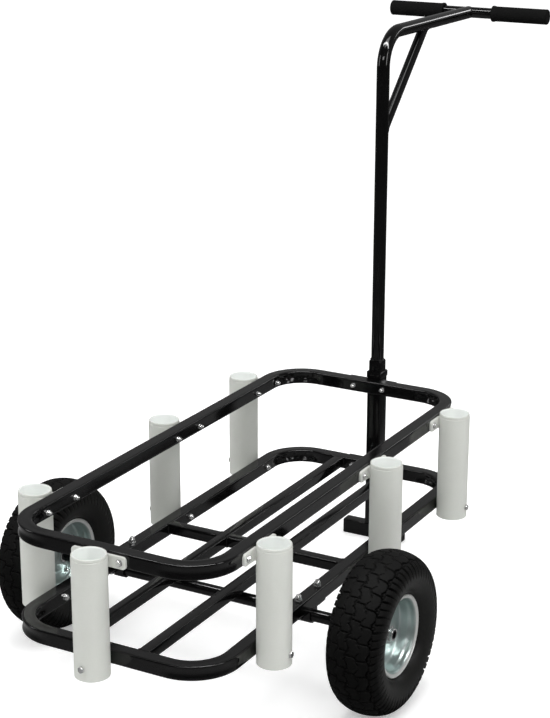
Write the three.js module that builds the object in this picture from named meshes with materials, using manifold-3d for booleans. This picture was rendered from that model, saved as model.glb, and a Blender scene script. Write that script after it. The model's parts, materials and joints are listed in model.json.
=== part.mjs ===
import * as THREE from "three";
import { mergeVertices } from "three/addons/utils/BufferGeometryUtils.js";
import Module from "manifold-3d";

// A two-wheeled fishing trolley: two bent rails, a barred floor, seven rod holders, an axle with two
// pneumatic wheels, and a handle that drops into a socket. Millimetres, +Z up, +Y towards the handle,
// +X to the right-hand wheel. The origin is on the ground under the middle of the whole trolley, from
// the front bolt's head to the grips. The pieces are placed from the middle of the rails, and the
// whole is then moved along Y.

// Rails: two rounded rectangles of square tube, one above the other
const ringLength = 973;
const ringWidth = 404;
const ringTube = 25;
const ringBend = 73;
const ringPitch = 171;
const tubeEdge = 2.2;

// Floor bars
const deckTube = 20;
const deckBarOffset = 62;

// Axle
const axlePlaceShare = -0.151;
const axleTubeRadius = 10.65;
const axleRodRadius = 8;
const saddlePlate = 3;
const saddleWidth = 22;
const saddleBoltReach = 34;
const saddleEnd = 10;
const axleBoltRadius = 4;
const axleBoltHead = 6;
const axleNutHeight = 7;
const spacerThickness = 2;
const spacerRadius = 13;
const collarThickness = 6;
const collarRadius = 11;
const rodOverhang = 0.6;
const rodChamfer = 1.2;

// Wheels
const tyreRadius = 140;
const tyreWidth = 98;
const tyreWall = 7;
const tyreToHolder = 22;
const rimSeatRadius = 63.5;
const rimFlangeHeight = 7;
const rimFlangeReach = 32.5;
const rimSheet = 2;
const rimWebRadius = 57;
const rimDishHalf = 34;
const rimDishTopHalf = 17;
const rimRidgeTurn = 110;
const hubRadius = 14;
const hubHalf = 13.5;
const bushRadius = 11;
const bushLength = 10;
const bushFlange = 1.5;
const bushFlangeRadius = 13;
const valveRadius = 4;
const valveHoleRadius = 5.5;
const valveLength = 20;
const valveStep = 1;
const valvePlace = 49;
const treadDepth = 5;
const treadGroove = 5;
const treadPitchCount = 14;
const treadStartShare = 0.5;
const treadRowReach = 15;
const shoulderFall = 17;

// Rod holders
const holderRadius = 29;
const holderWall = 3.2;
const holderRise = 3;
const holderDrop = 9;
const holderRim = 1.4;
const holderPlaceShares = [-0.35, 0.068, 0.375];
const earPlate = 4.5;
const earReach = 51;
const earHeight = 21;
const earDrop = 2;
const earCorner = 6;
const restBoltRadius = 3;
const restBoltHead = 4;
const restNutHeight = 5;

// Stand
const columnTube = 30;
const columnWall = 1.5;
const columnBand = 1.2;
const columnRise = 11.5;
const columnPlate = 2.6;
const columnPlateHalf = 52;
const columnPlateHeight = 24;
const footLength = 130;
const footDepth = 25;
const footHeight = 30;
const footCap = 4;
const footPlug = 12;

// Handle
const insertWall = 2;
const insertShown = 24;
const insertDepth = 100;
const insertBevel = 3;
const handleRadius = 12.7;
const handleTop = 1036;
const handleBend = 65;
const handleReach = 409;
const braceRadius = 10;
const braceLeg = 190;
const tBarRadius = 11.1;
const tBarLength = 345;
const gripRadius = 15.5;
const gripLength = 118;
const gripCap = 4;
const gripLip = 1.2;
const gripLipLength = 4;

// Bolts
const hexHeadShare = 2;

// Clearances
const seam = 0.3;
const boltSlack = 0.3;
const runningGap = 0.3;
const slidingGap = 0.4;
const overrun = 5;

// Facet counts
const roundSides = 16;
const bearingSides = 12;
const tubeSides = 16;
const boltSides = 8;
const hexSides = 6;
const wheelSides = 24;
const tyreSides = 2 * treadPitchCount;
const bendSteps = 3;
const elbowSteps = 6;
const cornerSteps = 2;
const strapSteps = 8;

// Places that follow from the sizes
const axleY = ringLength * axlePlaceShare;
const axleZ = tyreRadius;
const lowRailBottom = axleZ + axleTubeRadius + seam + saddlePlate + seam;
const lowRailMiddle = lowRailBottom + ringTube / 2;
const lowRailTop = lowRailBottom + ringTube;
const highRailMiddle = lowRailMiddle + ringPitch;
const highRailTop = lowRailTop + ringPitch;
const railX = (ringWidth - ringTube) / 2;
const holderSpan = 2 * holderRadius + seam;
const wheelX = ringWidth / 2 + holderSpan + tyreToHolder + tyreWidth / 2;
const hubFace = hubHalf + bushFlange;
const columnY = ringLength / 2 + seam + columnPlate + seam + columnTube / 2;
const columnTop = highRailTop + columnRise;
const columnBottom = footHeight + seam;
const insertTop = columnTop + insertShown;
const tBarY = columnY + handleReach;
const holderTop = highRailTop + holderRise;
const holderBottom = lowRailBottom - holderDrop;
const frontEnd = ringLength / 2 + holderSpan + seam + restBoltHead;
const rearEnd = tBarY + gripRadius + gripLip;

const wasm = await Module();
wasm.setup();

// The solid of a closed geometry.
function solidOf(geometry) {
  const bare = new THREE.BufferGeometry();
  bare.setAttribute("position", geometry.getAttribute("position"));
  bare.setIndex(geometry.index);
  const merged = mergeVertices(bare);
  const mesh = new wasm.Mesh({
    numProp: 3,
    vertProperties: merged.attributes.position.array,
    triVerts: new Uint32Array(merged.index.array),
  });
  return new wasm.Manifold(mesh);
}

// The geometry of a solid.
function geometryOf(solid) {
  const { vertProperties, triVerts } = solid.getMesh();
  const geometry = new THREE.BufferGeometry();
  geometry.setAttribute("position", new THREE.BufferAttribute(new Float32Array(vertProperties), 3));
  geometry.setIndex(new THREE.BufferAttribute(new Uint32Array(triVerts), 1));
  geometry.computeVertexNormals();
  return geometry;
}

function finish(color, roughness, metalness) {
  return new THREE.MeshStandardMaterial({ color, roughness, metalness });
}

function blackPowderCoat() {
  return finish(0x17181a, 0.28, 0.1);
}

function zincPlate() {
  return finish(0xb4bdbd, 0.32, 1);
}

function steel() {
  return finish(0xc9ccce, 0.3, 1);
}

function tyreRubber() {
  return finish(0x151515, 0.85, 0);
}

function whitePlastic() {
  return finish(0xd6d8d2, 0.45, 0);
}

function blackPlastic() {
  return finish(0x121213, 0.5, 0);
}

function gripFoam() {
  return finish(0x101011, 0.9, 0);
}

// One named piece, placed by its own position.
function piece(name, solid, material, x = 0, y = 0, z = 0) {
  const mesh = new THREE.Mesh(geometryOf(solid), material);
  mesh.name = name;
  mesh.position.set(x, y, z);
  return mesh;
}

// A rounded rectangle, centred, as a shape or as a hole in one.
function roundedRectangle(width, height, radius, Kind = THREE.Shape) {
  const path = new Kind();
  const right = width / 2 - radius;
  const top = height / 2 - radius;
  path.absarc(right, top, radius, 0, Math.PI / 2, false);
  path.absarc(-right, top, radius, Math.PI / 2, Math.PI, false);
  path.absarc(-right, -top, radius, Math.PI, 1.5 * Math.PI, false);
  path.absarc(right, -top, radius, 1.5 * Math.PI, 2 * Math.PI, false);
  path.closePath();
  return path;
}

// An extrusion of a shape along +Z, centred on its own middle.
function extruded(shape, length, curveSegments = 1) {
  const geometry = new THREE.ExtrudeGeometry(shape, {
    depth: length,
    bevelEnabled: false,
    curveSegments,
  });
  return geometry.translate(0, 0, -length / 2);
}

// Turns an extrusion so that it runs along X, with its outline's x along Y and its y along Z.
function alongX(geometry) {
  const basis = new THREE.Matrix4().makeBasis(
    new THREE.Vector3(0, 1, 0),
    new THREE.Vector3(0, 0, 1),
    new THREE.Vector3(1, 0, 0),
  );
  return geometry.applyMatrix4(basis);
}

function alongY(geometry) {
  return geometry.rotateX(-Math.PI / 2);
}

// A bar of round section about Z, centred, with the given number of sides.
function rod(radius, length, sides) {
  return new THREE.CylinderGeometry(radius, radius, length, sides).rotateX(Math.PI / 2);
}

// A solid of revolution about Z. The profile is a closed list of [radius, height] that runs
// anticlockwise, seen with the radius to the right and the height upwards.
function turned(profile, sides) {
  const points = [...profile, profile[0]].map(([radius, height]) => new THREE.Vector2(radius, height));
  return new THREE.LatheGeometry(points, sides).rotateX(Math.PI / 2);
}

// A plain ring about Z between two heights.
function sleeve(inner, outer, low, high, sides) {
  return solidOf(turned([[inner, low], [outer, low], [outer, high], [inner, high]], sides));
}

// A hexagonal bolt along +Z with its nut: the head lies below zero, the nut above the grip length.
function boltWithNut(radius, headHeight, nutHeight, grip) {
  const headRadius = hexHeadShare * radius;
  const head = solidOf(rod(headRadius, headHeight, hexSides).translate(0, 0, -headHeight / 2));
  const shankEnd = grip + nutHeight + radius;
  const shankStart = -headHeight / 2;
  const shankMiddle = (shankEnd + shankStart) / 2;
  const shank = solidOf(rod(radius, shankEnd - shankStart, boltSides).translate(0, 0, shankMiddle));
  const nut = solidOf(rod(headRadius, nutHeight, hexSides).translate(0, 0, grip + nutHeight / 2));
  return head.add(shank).add(nut);
}

// A bent rail of square tube with softened edges.
function railRing() {
  const outerBend = ringBend + ringTube / 2;
  const innerBend = ringBend - ringTube / 2;
  const outline = roundedRectangle(ringWidth, ringLength, outerBend);
  outline.holes.push(
    roundedRectangle(ringWidth - 2 * ringTube, ringLength - 2 * ringTube, innerBend, THREE.Path),
  );
  const geometry = new THREE.ExtrudeGeometry(outline, {
    depth: ringTube - 2 * tubeEdge,
    bevelEnabled: true,
    bevelThickness: tubeEdge,
    bevelSize: tubeEdge,
    bevelOffset: -tubeEdge,
    bevelSegments: 1,
    curveSegments: bendSteps,
  });
  return solidOf(geometry.translate(0, 0, tubeEdge - ringTube / 2));
}

// The lower rail with the holes for the rest bolts and the axle bolts.
function bottomRail() {
  let rail = railRing();
  const restHole = solidOf(alongX(rod(restBoltRadius + boltSlack, ringTube + 2 * overrun, boltSides)));
  for (const { turn, along, side } of holderPlaces()) {
    const hole = restHole.translate([side - ringTube / 2, 0, 0]);
    rail = rail.subtract(hole.rotate([0, 0, turn]).translate([0, along, 0]));
  }
  const axleHole = solidOf(rod(axleBoltRadius + boltSlack, ringTube + 2 * overrun, boltSides));
  for (const x of [-railX, railX]) {
    for (const reach of [-saddleBoltReach, saddleBoltReach]) {
      rail = rail.subtract(axleHole.translate([x, axleY + reach, 0]));
    }
  }
  return rail;
}

// The seven rod holders: three on each side and one at the front. A holder's turn about Z takes +X
// to the way it faces, along is its place on its rail, and side is how far out that rail's face lies.
function holderPlaces() {
  const onSides = (turn) =>
    holderPlaceShares.map((share) => ({ turn, along: share * ringLength, side: ringWidth / 2 }));
  return [...onSides(180), { turn: -90, along: 0, side: ringLength / 2 }, ...onSides(0)];
}

// A moulded holder, open at both ends. Its tube stands on the origin's axis, and a flat plate at the
// tube's back reaches out on both sides as two ears, which bolt to the upper rail.
function holderBody() {
  const height = holderTop - holderBottom;
  const inner = holderRadius - holderWall;
  const tube = turned(
    [
      [inner, 0],
      [holderRadius, 0],
      [holderRadius, height - holderRim],
      [holderRadius - holderRim, height],
      [inner + holderRim, height],
      [inner, height - holderRim],
    ],
    roundSides,
  );
  const bore = solidOf(rod(inner, height + 2 * overrun, roundSides).translate(0, 0, height / 2));
  const plate = extruded(roundedRectangle(2 * earReach, earHeight, earCorner), earPlate, cornerSteps);
  const ears = solidOf(alongX(plate)).translate([
    earPlate / 2 - holderRadius,
    0,
    highRailMiddle - earDrop - holderBottom,
  ]);
  const boltHole = solidOf(
    alongX(rod(restBoltRadius + boltSlack, 2 * (holderRadius + overrun), boltSides)),
  ).translate([0, 0, lowRailMiddle - holderBottom]);
  return solidOf(tube).add(ears.subtract(bore)).subtract(boltHole);
}

function rodHolders() {
  const group = new THREE.Group();
  const body = holderBody();
  const grip = ringTube + 2 * seam + 2 * holderRadius;
  const bolt = boltWithNut(restBoltRadius, restBoltHead, restNutHeight, grip + seam);
  holderPlaces().forEach(({ turn, along, side }, index) => {
    const holder = new THREE.Group();
    const number = index + 1;
    const centre = side + seam + holderRadius;
    const headSeat = centre + holderRadius + seam;
    holder.add(piece(`rod_holder_${number}`, body, whitePlastic(), centre, 0, holderBottom));
    const restBolt = piece(`rest_bolt_${number}`, bolt, steel(), headSeat, 0, lowRailMiddle);
    restBolt.rotation.y = -Math.PI / 2;
    holder.add(restBolt);
    holder.rotation.z = THREE.MathUtils.degToRad(turn);
    holder.position.y = along;
    group.add(holder);
  });
  return group;
}

function deckBar(length) {
  return extruded(roundedRectangle(deckTube, deckTube, tubeEdge), length);
}

// Two long bars between the ends of the lower rail, and a cross bar in three lengths between the sides.
function deck() {
  const group = new THREE.Group();
  const height = lowRailTop - deckTube / 2;
  const long = solidOf(alongY(deckBar(ringLength - 2 * ringTube - 2 * seam)));
  group.add(piece("deck_bar_left", long, blackPowderCoat(), -deckBarOffset, 0, height));
  group.add(piece("deck_bar_right", long, blackPowderCoat(), deckBarOffset, 0, height));
  const between = 2 * deckBarOffset - deckTube - 2 * seam;
  const outerStart = deckBarOffset + deckTube / 2 + seam;
  const outerEnd = ringWidth / 2 - ringTube - seam;
  const outerMiddle = (outerStart + outerEnd) / 2;
  const outer = solidOf(alongX(deckBar(outerEnd - outerStart)));
  const inner = solidOf(alongX(deckBar(between)));
  group.add(piece("deck_cross_middle", inner, blackPowderCoat(), 0, 0, height));
  group.add(piece("deck_cross_left", outer, blackPowderCoat(), -outerMiddle, 0, height));
  group.add(piece("deck_cross_right", outer, blackPowderCoat(), outerMiddle, 0, height));
  return group;
}

function frame() {
  const group = new THREE.Group();
  group.add(piece("top_ring", railRing(), blackPowderCoat(), 0, 0, highRailMiddle));
  group.add(piece("bottom_ring", bottomRail(), blackPowderCoat(), 0, 0, lowRailMiddle));
  group.add(deck());
  return group;
}

// A strap round the axle tube under a flat plate that bolts up against the rail.
function saddle() {
  const half = saddleBoltReach + saddleEnd;
  const plateLow = lowRailBottom - seam - saddlePlate - axleZ;
  const strapRadius = axleTubeRadius + seam + saddlePlate;
  const outline = new THREE.Shape();
  outline.moveTo(-half, plateLow);
  outline.lineTo(-strapRadius, plateLow);
  outline.lineTo(-strapRadius, 0);
  outline.absarc(0, 0, strapRadius, Math.PI, 2 * Math.PI, false);
  outline.lineTo(strapRadius, plateLow);
  outline.lineTo(half, plateLow);
  outline.lineTo(half, plateLow + saddlePlate);
  outline.lineTo(-half, plateLow + saddlePlate);
  const hole = new THREE.Path();
  hole.absarc(0, 0, axleTubeRadius + seam, 0, 2 * Math.PI, true);
  outline.holes.push(hole);
  let strap = solidOf(alongX(extruded(outline, saddleWidth, strapSteps)));
  const boltHole = solidOf(rod(axleBoltRadius + boltSlack, 2 * overrun, boltSides));
  for (const reach of [-saddleBoltReach, saddleBoltReach]) {
    strap = strap.subtract(boltHole.translate([0, reach, plateLow + saddlePlate / 2]));
  }
  return strap;
}

// A length of solid rod about Z with chamfered ends.
function chamferedRod(radius, length, chamfer) {
  const half = length / 2;
  return turned(
    [
      [0, -half],
      [radius - chamfer, -half],
      [radius, chamfer - half],
      [radius, half - chamfer],
      [radius - chamfer, half],
      [0, half],
    ],
    tubeSides,
  );
}

function axle() {
  const group = new THREE.Group();
  const tubeEnd = wheelX - hubFace - spacerThickness - 2 * runningGap;
  const rodEnd = wheelX + hubFace + runningGap + collarThickness + rodOverhang;
  const tube = sleeve(axleRodRadius + seam, axleTubeRadius, -tubeEnd, tubeEnd, tubeSides);
  const through = solidOf(chamferedRod(axleRodRadius, 2 * rodEnd, rodChamfer));
  group.add(piece("axle_tube", tube.rotate([0, 90, 0]), blackPowderCoat(), 0, axleY, axleZ));
  group.add(piece("axle_rod", through.rotate([0, 90, 0]), steel(), 0, axleY, axleZ));
  const strap = saddle();
  const bolt = boltWithNut(axleBoltRadius, axleBoltHead, axleNutHeight, ringTube + saddlePlate + 3 * seam);
  const headSeat = lowRailBottom - 2 * seam - saddlePlate;
  const spacer = sleeve(axleRodRadius + runningGap, spacerRadius, 0, spacerThickness, bearingSides);
  const collar = sleeve(axleRodRadius + seam, collarRadius, 0, collarThickness, bearingSides);
  for (const [side, name] of [[-1, "left"], [1, "right"]]) {
    group.add(piece(`axle_saddle_${name}`, strap, blackPowderCoat(), side * railX, axleY, axleZ));
    for (const [reach, end] of [[-saddleBoltReach, "front"], [saddleBoltReach, "rear"]]) {
      group.add(piece(`axle_bolt_${name}_${end}`, bolt, steel(), side * railX, axleY + reach, headSeat));
    }
    const outward = new THREE.Group();
    outward.position.set(0, axleY, axleZ);
    outward.rotation.y = (side * Math.PI) / 2;
    outward.add(piece(`axle_spacer_${name}`, spacer, steel(), 0, 0, tubeEnd + runningGap));
    outward.add(piece(`axle_collar_${name}`, collar, zincPlate(), 0, 0, wheelX + hubFace + runningGap));
    group.add(outward);
  }
  return group;
}

// The tyre's section in shares: across from its middle plane to its side, and up from its bead to
// its crown.
const tyreOuterShares = [
  [0.75, 0.18],
  [1, 0.5],
  [0.97, 0.74],
  [0.82, 0.93],
];
const tyreInnerShares = [[0.95, 0.62]];

// Half a section, its bead's own points and then shares, mirrored across the middle plane: lower bead,
// crown, upper bead.
function acrossTheTyre(beadPoints, shares, halfWidth, crown) {
  const bead = beadPoints[0][0];
  const side = shares.map(([across, up]) => [bead + up * (crown - bead), across * halfWidth]);
  const upper = [...beadPoints, ...side];
  const lower = upper.map(([radius, height]) => [radius, -height]);
  return [...lower, [crown, 0], ...upper.reverse()];
}

// One groove across the tread, cut in the plane of radius and height, then turned to its angle.
function treadCut(corners, angle) {
  const shape = new THREE.Shape(corners.map(([radius, height]) => new THREE.Vector2(radius, height)));
  return solidOf(extruded(shape, treadGroove).rotateX(Math.PI / 2).rotateZ(angle));
}

// The grooves: short cuts across the middle row, and cuts that run out over each shoulder, half a
// pitch away from those of the middle row.
function treadGrooves() {
  const floor = tyreRadius - treadDepth;
  const above = tyreRadius + overrun;
  const edge = tyreWidth / 2 + overrun;
  const shoulder = floor - shoulderFall;
  const middle = [
    [floor, -treadRowReach],
    [above, -treadRowReach],
    [above, treadRowReach],
    [floor, treadRowReach],
  ];
  const side = [
    [floor, treadRowReach],
    [above, treadRowReach],
    [above, edge],
    [shoulder, edge],
  ];
  const other = side.map(([radius, height]) => [radius, -height]);
  const cuts = [];
  const halfPitch = Math.PI / treadPitchCount;
  for (let i = 0; i < treadPitchCount; i += 1) {
    const angle = (2 * i + treadStartShare) * halfPitch;
    cuts.push(treadCut(middle, angle));
    cuts.push(treadCut(side, angle + halfPitch));
    cuts.push(treadCut(other, angle + halfPitch));
  }
  return wasm.Manifold.union(cuts);
}

// A hollow tyre about Z, open between its beads.
function tyre() {
  const bead = (rimSeatRadius + seam) / Math.cos(Math.PI / tyreSides);
  const heel = rimFlangeReach - 2 * rimSheet - seam;
  const lip = rimFlangeReach - rimSheet - seam;
  const beadOuter = [[bead, heel], [bead + rimFlangeHeight, lip]];
  const beadInner = [[bead, heel - tyreWall]];
  const outer = acrossTheTyre(beadOuter, tyreOuterShares, tyreWidth / 2, tyreRadius);
  const innerCrown = tyreRadius - treadDepth - tyreWall;
  const inner = acrossTheTyre(beadInner, tyreInnerShares, tyreWidth / 2 - tyreWall, innerCrown);
  return solidOf(turned([...outer, ...inner.reverse()], tyreSides)).subtract(treadGrooves());
}

// A closed surface swept about Z through loops of [radius, height] that change with the angle.
function sweptRound(loopAt, sides) {
  const positions = [];
  const triangles = [];
  const count = loopAt(0).length;
  for (let i = 0; i < sides; i += 1) {
    const angle = (2 * Math.PI * i) / sides;
    for (const [radius, height] of loopAt(angle)) {
      positions.push(radius * Math.cos(angle), radius * Math.sin(angle), height);
    }
    for (let j = 0; j < count; j += 1) {
      const next = (j + 1) % count;
      const ahead = ((i + 1) % sides) * count;
      triangles.push(i * count + j, ahead + j, ahead + next);
      triangles.push(i * count + j, ahead + next, i * count + next);
    }
  }
  const geometry = new THREE.BufferGeometry();
  geometry.setAttribute("position", new THREE.BufferAttribute(new Float32Array(positions), 3));
  geometry.setIndex(triangles);
  return geometry;
}

// One pressed half of a rim, from the hub out: a square dish with four ridges, a flat web that lies
// against the other half, the bead seat and the turned-out flange.
function rimHalf() {
  const flat = seam / 2;
  const well = rimSeatRadius - rimSheet;
  const tip = rimSeatRadius + rimFlangeHeight;
  const loopAt = (angle) => {
    const slant = Math.max(Math.abs(Math.cos(angle)), Math.abs(Math.sin(angle)));
    const top = rimDishTopHalf / slant;
    const foot = rimDishHalf / slant;
    const hub = hubRadius + seam;
    return [
      [hub, hubHalf - rimSheet],
      [top, hubHalf - rimSheet],
      [foot, flat],
      [rimWebRadius, flat],
      [rimSeatRadius, flat + rimSheet],
      [rimSeatRadius, rimFlangeReach - 2 * rimSheet],
      [tip, rimFlangeReach - rimSheet],
      [tip, rimFlangeReach],
      [well, rimFlangeReach - rimSheet],
      [well, flat + 2 * rimSheet],
      [rimWebRadius, flat + rimSheet],
      [foot, flat + rimSheet],
      [top, hubHalf],
      [hub, hubHalf],
    ];
  };
  return solidOf(sweptRound(loopAt, wheelSides)).rotate([0, 0, rimRidgeTurn]);
}

// A flanged bush that lines one end of the hub. Its flange's outer face is at zero height.
function bush() {
  const bore = axleRodRadius + runningGap;
  return solidOf(
    turned(
      [
        [bore, -bushFlange - bushLength],
        [bushRadius, -bushFlange - bushLength],
        [bushRadius, -bushFlange],
        [bushFlangeRadius, -bushFlange],
        [bushFlangeRadius, 0],
        [bore, 0],
      ],
      bearingSides,
    ),
  );
}

// A rubber valve with a narrower cap.
function valve() {
  return solidOf(
    turned(
      [
        [0, 0],
        [valveRadius, 0],
        [valveRadius, valveLength / 2],
        [valveRadius - valveStep, valveLength / 2],
        [valveRadius - valveStep, valveLength],
        [0, valveLength],
      ],
      boltSides,
    ),
  );
}

// A wheel about Z with its outboard side upwards.
function wheel(name) {
  const group = new THREE.Group();
  const half = rimHalf();
  const valveHole = solidOf(rod(valveHoleRadius, 2 * overrun, boltSides)).translate([0, -valvePlace, 0]);
  const hub = sleeve(bushRadius + seam, hubRadius, -hubHalf, hubHalf, bearingSides);
  group.add(piece(`tyre_${name}`, tyre(), tyreRubber()));
  group.add(piece(`rim_outer_${name}`, half.subtract(valveHole), zincPlate()));
  const innerHalf = piece(`rim_inner_${name}`, half, zincPlate());
  innerHalf.rotation.x = Math.PI;
  group.add(innerHalf);
  group.add(piece(`hub_${name}`, hub, zincPlate()));
  group.add(piece(`bush_outer_${name}`, bush(), steel(), 0, 0, hubFace + seam));
  const innerBush = piece(`bush_inner_${name}`, bush(), steel(), 0, 0, -hubFace - seam);
  innerBush.rotation.x = Math.PI;
  group.add(innerBush);
  group.add(piece(`valve_stem_${name}`, valve(), blackPlastic(), 0, -valvePlace, seam));
  return group;
}

function wheels() {
  const group = new THREE.Group();
  for (const [side, name] of [[-1, "left"], [1, "right"]]) {
    const one = wheel(name);
    one.position.set(side * wheelX, axleY, axleZ);
    one.rotation.y = (side * Math.PI) / 2;
    group.add(one);
  }
  return group;
}

// A plate that lies between the upright and a rail.
function columnPlateBody() {
  const outline = roundedRectangle(2 * columnPlateHalf, columnPlateHeight, tubeEdge);
  return solidOf(alongY(extruded(outline, columnPlate)));
}

// The upright with its plates and collar, and the foot that it stands on.
function stand() {
  const group = new THREE.Group();
  const outline = roundedRectangle(columnTube, columnTube, tubeEdge);
  const inside = columnTube - 2 * columnWall;
  outline.holes.push(roundedRectangle(inside, inside, seam, THREE.Path));
  const height = columnTop - columnBottom;
  const middle = columnBottom + height / 2;
  const tube = solidOf(extruded(outline, height));
  group.add(piece("column_tube", tube, blackPowderCoat(), 0, columnY, middle));
  const plateY = ringLength / 2 + seam + columnPlate / 2;
  group.add(piece("column_plate_upper", columnPlateBody(), blackPowderCoat(), 0, plateY, highRailMiddle));
  group.add(piece("column_plate_lower", columnPlateBody(), blackPowderCoat(), 0, plateY, lowRailMiddle));
  const bandInside = columnTube + 2 * seam;
  const bandOutside = bandInside + 2 * columnBand;
  const band = roundedRectangle(bandOutside, bandOutside, tubeEdge);
  band.holes.push(roundedRectangle(bandInside, bandInside, tubeEdge, THREE.Path));
  const bandHeight = columnRise - seam;
  const bandPiece = solidOf(extruded(band, bandHeight));
  group.add(piece("column_band", bandPiece, blackPowderCoat(), 0, columnY, columnTop - bandHeight / 2));
  group.add(foot());
  return group;
}

// A cross foot of open tube with a plug in each end.
function foot() {
  const group = new THREE.Group();
  const wall = columnWall;
  const outline = roundedRectangle(footDepth, footHeight, tubeEdge);
  outline.holes.push(roundedRectangle(footDepth - 2 * wall, footHeight - 2 * wall, seam, THREE.Path));
  const tubeLength = footLength - 2 * footCap - 2 * seam;
  const tube = solidOf(alongX(extruded(outline, tubeLength)));
  group.add(piece("foot_bar", tube, blackPowderCoat(), 0, columnY, footHeight / 2));
  const fit = 2 * wall + 2 * seam;
  const face = solidOf(alongX(extruded(roundedRectangle(footDepth, footHeight, tubeEdge), footCap)));
  const plug = solidOf(
    alongX(extruded(roundedRectangle(footDepth - fit, footHeight - fit, seam), footPlug + footCap)),
  ).translate([-(footPlug + footCap) / 2, 0, 0]);
  const cap = face.add(plug);
  const capX = footLength / 2 - footCap / 2;
  const mirrored = cap.rotate([0, 0, 180]);
  group.add(piece("foot_cap_right", cap, blackPlastic(), capX, columnY, footHeight / 2));
  group.add(piece("foot_cap_left", mirrored, blackPlastic(), -capX, columnY, footHeight / 2));
  return group;
}

// The square sleeve at the handle's foot, open below and bevelled at its top.
function handleInsert() {
  const side = columnTube - 2 * columnWall - 2 * slidingGap;
  const length = insertDepth + insertShown;
  const outline = roundedRectangle(side, side, tubeEdge);
  const body = solidOf(extruded(outline, length).translate(0, 0, length / 2));
  const topRadius = (side / 2 - insertBevel) * Math.SQRT2;
  const taper = new THREE.CylinderGeometry(topRadius, topRadius + length * Math.SQRT2, length, 4, 1);
  const pyramid = solidOf(taper.rotateX(Math.PI / 2).rotateZ(Math.PI / 4).translate(0, 0, length / 2));
  const hollow = side - 2 * insertWall;
  const pocket = solidOf(extruded(roundedRectangle(hollow, hollow, seam), 2 * insertDepth));
  return body.intersect(pyramid).subtract(pocket);
}

// The bent tube, from the sleeve's top up, round the bend and out to the cross bar, which it clasps.
function handleTube() {
  const bendStart = handleTop - handleBend;
  const kappa = (4 / 3) * Math.tan(Math.PI / 8) * handleBend;
  const start = insertTop + seam;
  const elbow = new THREE.CubicBezierCurve3(
    new THREE.Vector3(0, columnY, bendStart),
    new THREE.Vector3(0, columnY, bendStart + kappa),
    new THREE.Vector3(0, columnY + handleBend - kappa, handleTop),
    new THREE.Vector3(0, columnY + handleBend, handleTop),
  );
  const section = new THREE.Shape();
  section.absarc(0, 0, handleRadius, 0, 2 * Math.PI, false);
  const geometry = new THREE.ExtrudeGeometry(section, {
    steps: elbowSteps,
    bevelEnabled: false,
    curveSegments: tubeSides / 2,
    extrudePath: elbow,
  });
  const upright = solidOf(rod(handleRadius, bendStart - start, tubeSides));
  const armLength = handleReach - handleBend;
  const arm = solidOf(alongY(rod(handleRadius, armLength, tubeSides)));
  const bar = solidOf(alongX(rod(tBarRadius + seam, 2 * (handleRadius + overrun), roundSides)));
  return solidOf(geometry)
    .add(upright.translate([0, columnY, (start + bendStart) / 2]))
    .add(arm.translate([0, tBarY - armLength / 2, handleTop]))
    .subtract(bar.translate([0, tBarY, handleTop]));
}

// The stay across the bend, cut to the two stretches of tube that it joins.
function handleBrace() {
  const length = braceLeg * Math.SQRT2;
  const stay = solidOf(rod(braceRadius, length, tubeSides).rotateX(-Math.PI / 4)).translate([
    0,
    columnY + braceLeg / 2,
    handleTop - braceLeg / 2,
  ]);
  const clear = handleRadius + seam;
  const upright = solidOf(rod(clear, 2 * braceLeg, tubeSides));
  const arm = solidOf(alongY(rod(clear, 2 * braceLeg, tubeSides)));
  return stay
    .subtract(upright.translate([0, columnY, handleTop - braceLeg]))
    .subtract(arm.translate([0, columnY + braceLeg, handleTop]));
}

// A soft sleeve along Z with a raised lip at its inner end and a rounded, closed outer end.
function grip() {
  const bore = tBarRadius + seam;
  const end = gripLength + gripCap;
  return solidOf(
    turned(
      [
        [0, gripLength],
        [bore, gripLength],
        [bore, 0],
        [gripRadius + gripLip, 0],
        [gripRadius + gripLip, gripLipLength],
        [gripRadius, gripLipLength + gripLip],
        [gripRadius, end - gripCap],
        [gripRadius - gripCap / 4, end - gripCap / 3],
        [gripRadius - gripCap, end],
        [0, end],
      ],
      roundSides,
    ),
  );
}

function handle() {
  const group = new THREE.Group();
  group.add(piece("handle_insert", handleInsert(), blackPowderCoat(), 0, columnY, columnTop - insertDepth));
  group.add(piece("handle_tube", handleTube(), blackPowderCoat()));
  group.add(piece("handle_brace", handleBrace(), blackPowderCoat()));
  const bar = solidOf(alongX(rod(tBarRadius, tBarLength, roundSides)));
  group.add(piece("handle_t_bar", bar, blackPowderCoat(), 0, tBarY, handleTop));
  const sleeveStart = tBarLength / 2 + seam - gripLength;
  for (const [side, name] of [[-1, "left"], [1, "right"]]) {
    const soft = piece(`grip_${name}`, grip(), gripFoam(), side * sleeveStart, tBarY, handleTop);
    soft.rotation.y = (side * Math.PI) / 2;
    group.add(soft);
  }
  return group;
}

const trolley = new THREE.Group();
trolley.add(frame());
trolley.add(rodHolders());
trolley.add(axle());
trolley.add(wheels());
trolley.add(stand());
trolley.add(handle());
trolley.position.y = (frontEnd - rearEnd) / 2;
export default trolley;
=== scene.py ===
"""A two-wheeled fishing trolley: bent square rails, a barred floor, moulded rod holders, pneumatic
wheels, and a handle that drops into a socket. Metres, +Z up, +Y towards the handle, +X to the
right-hand wheel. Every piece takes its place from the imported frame."""
import json
import math

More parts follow.
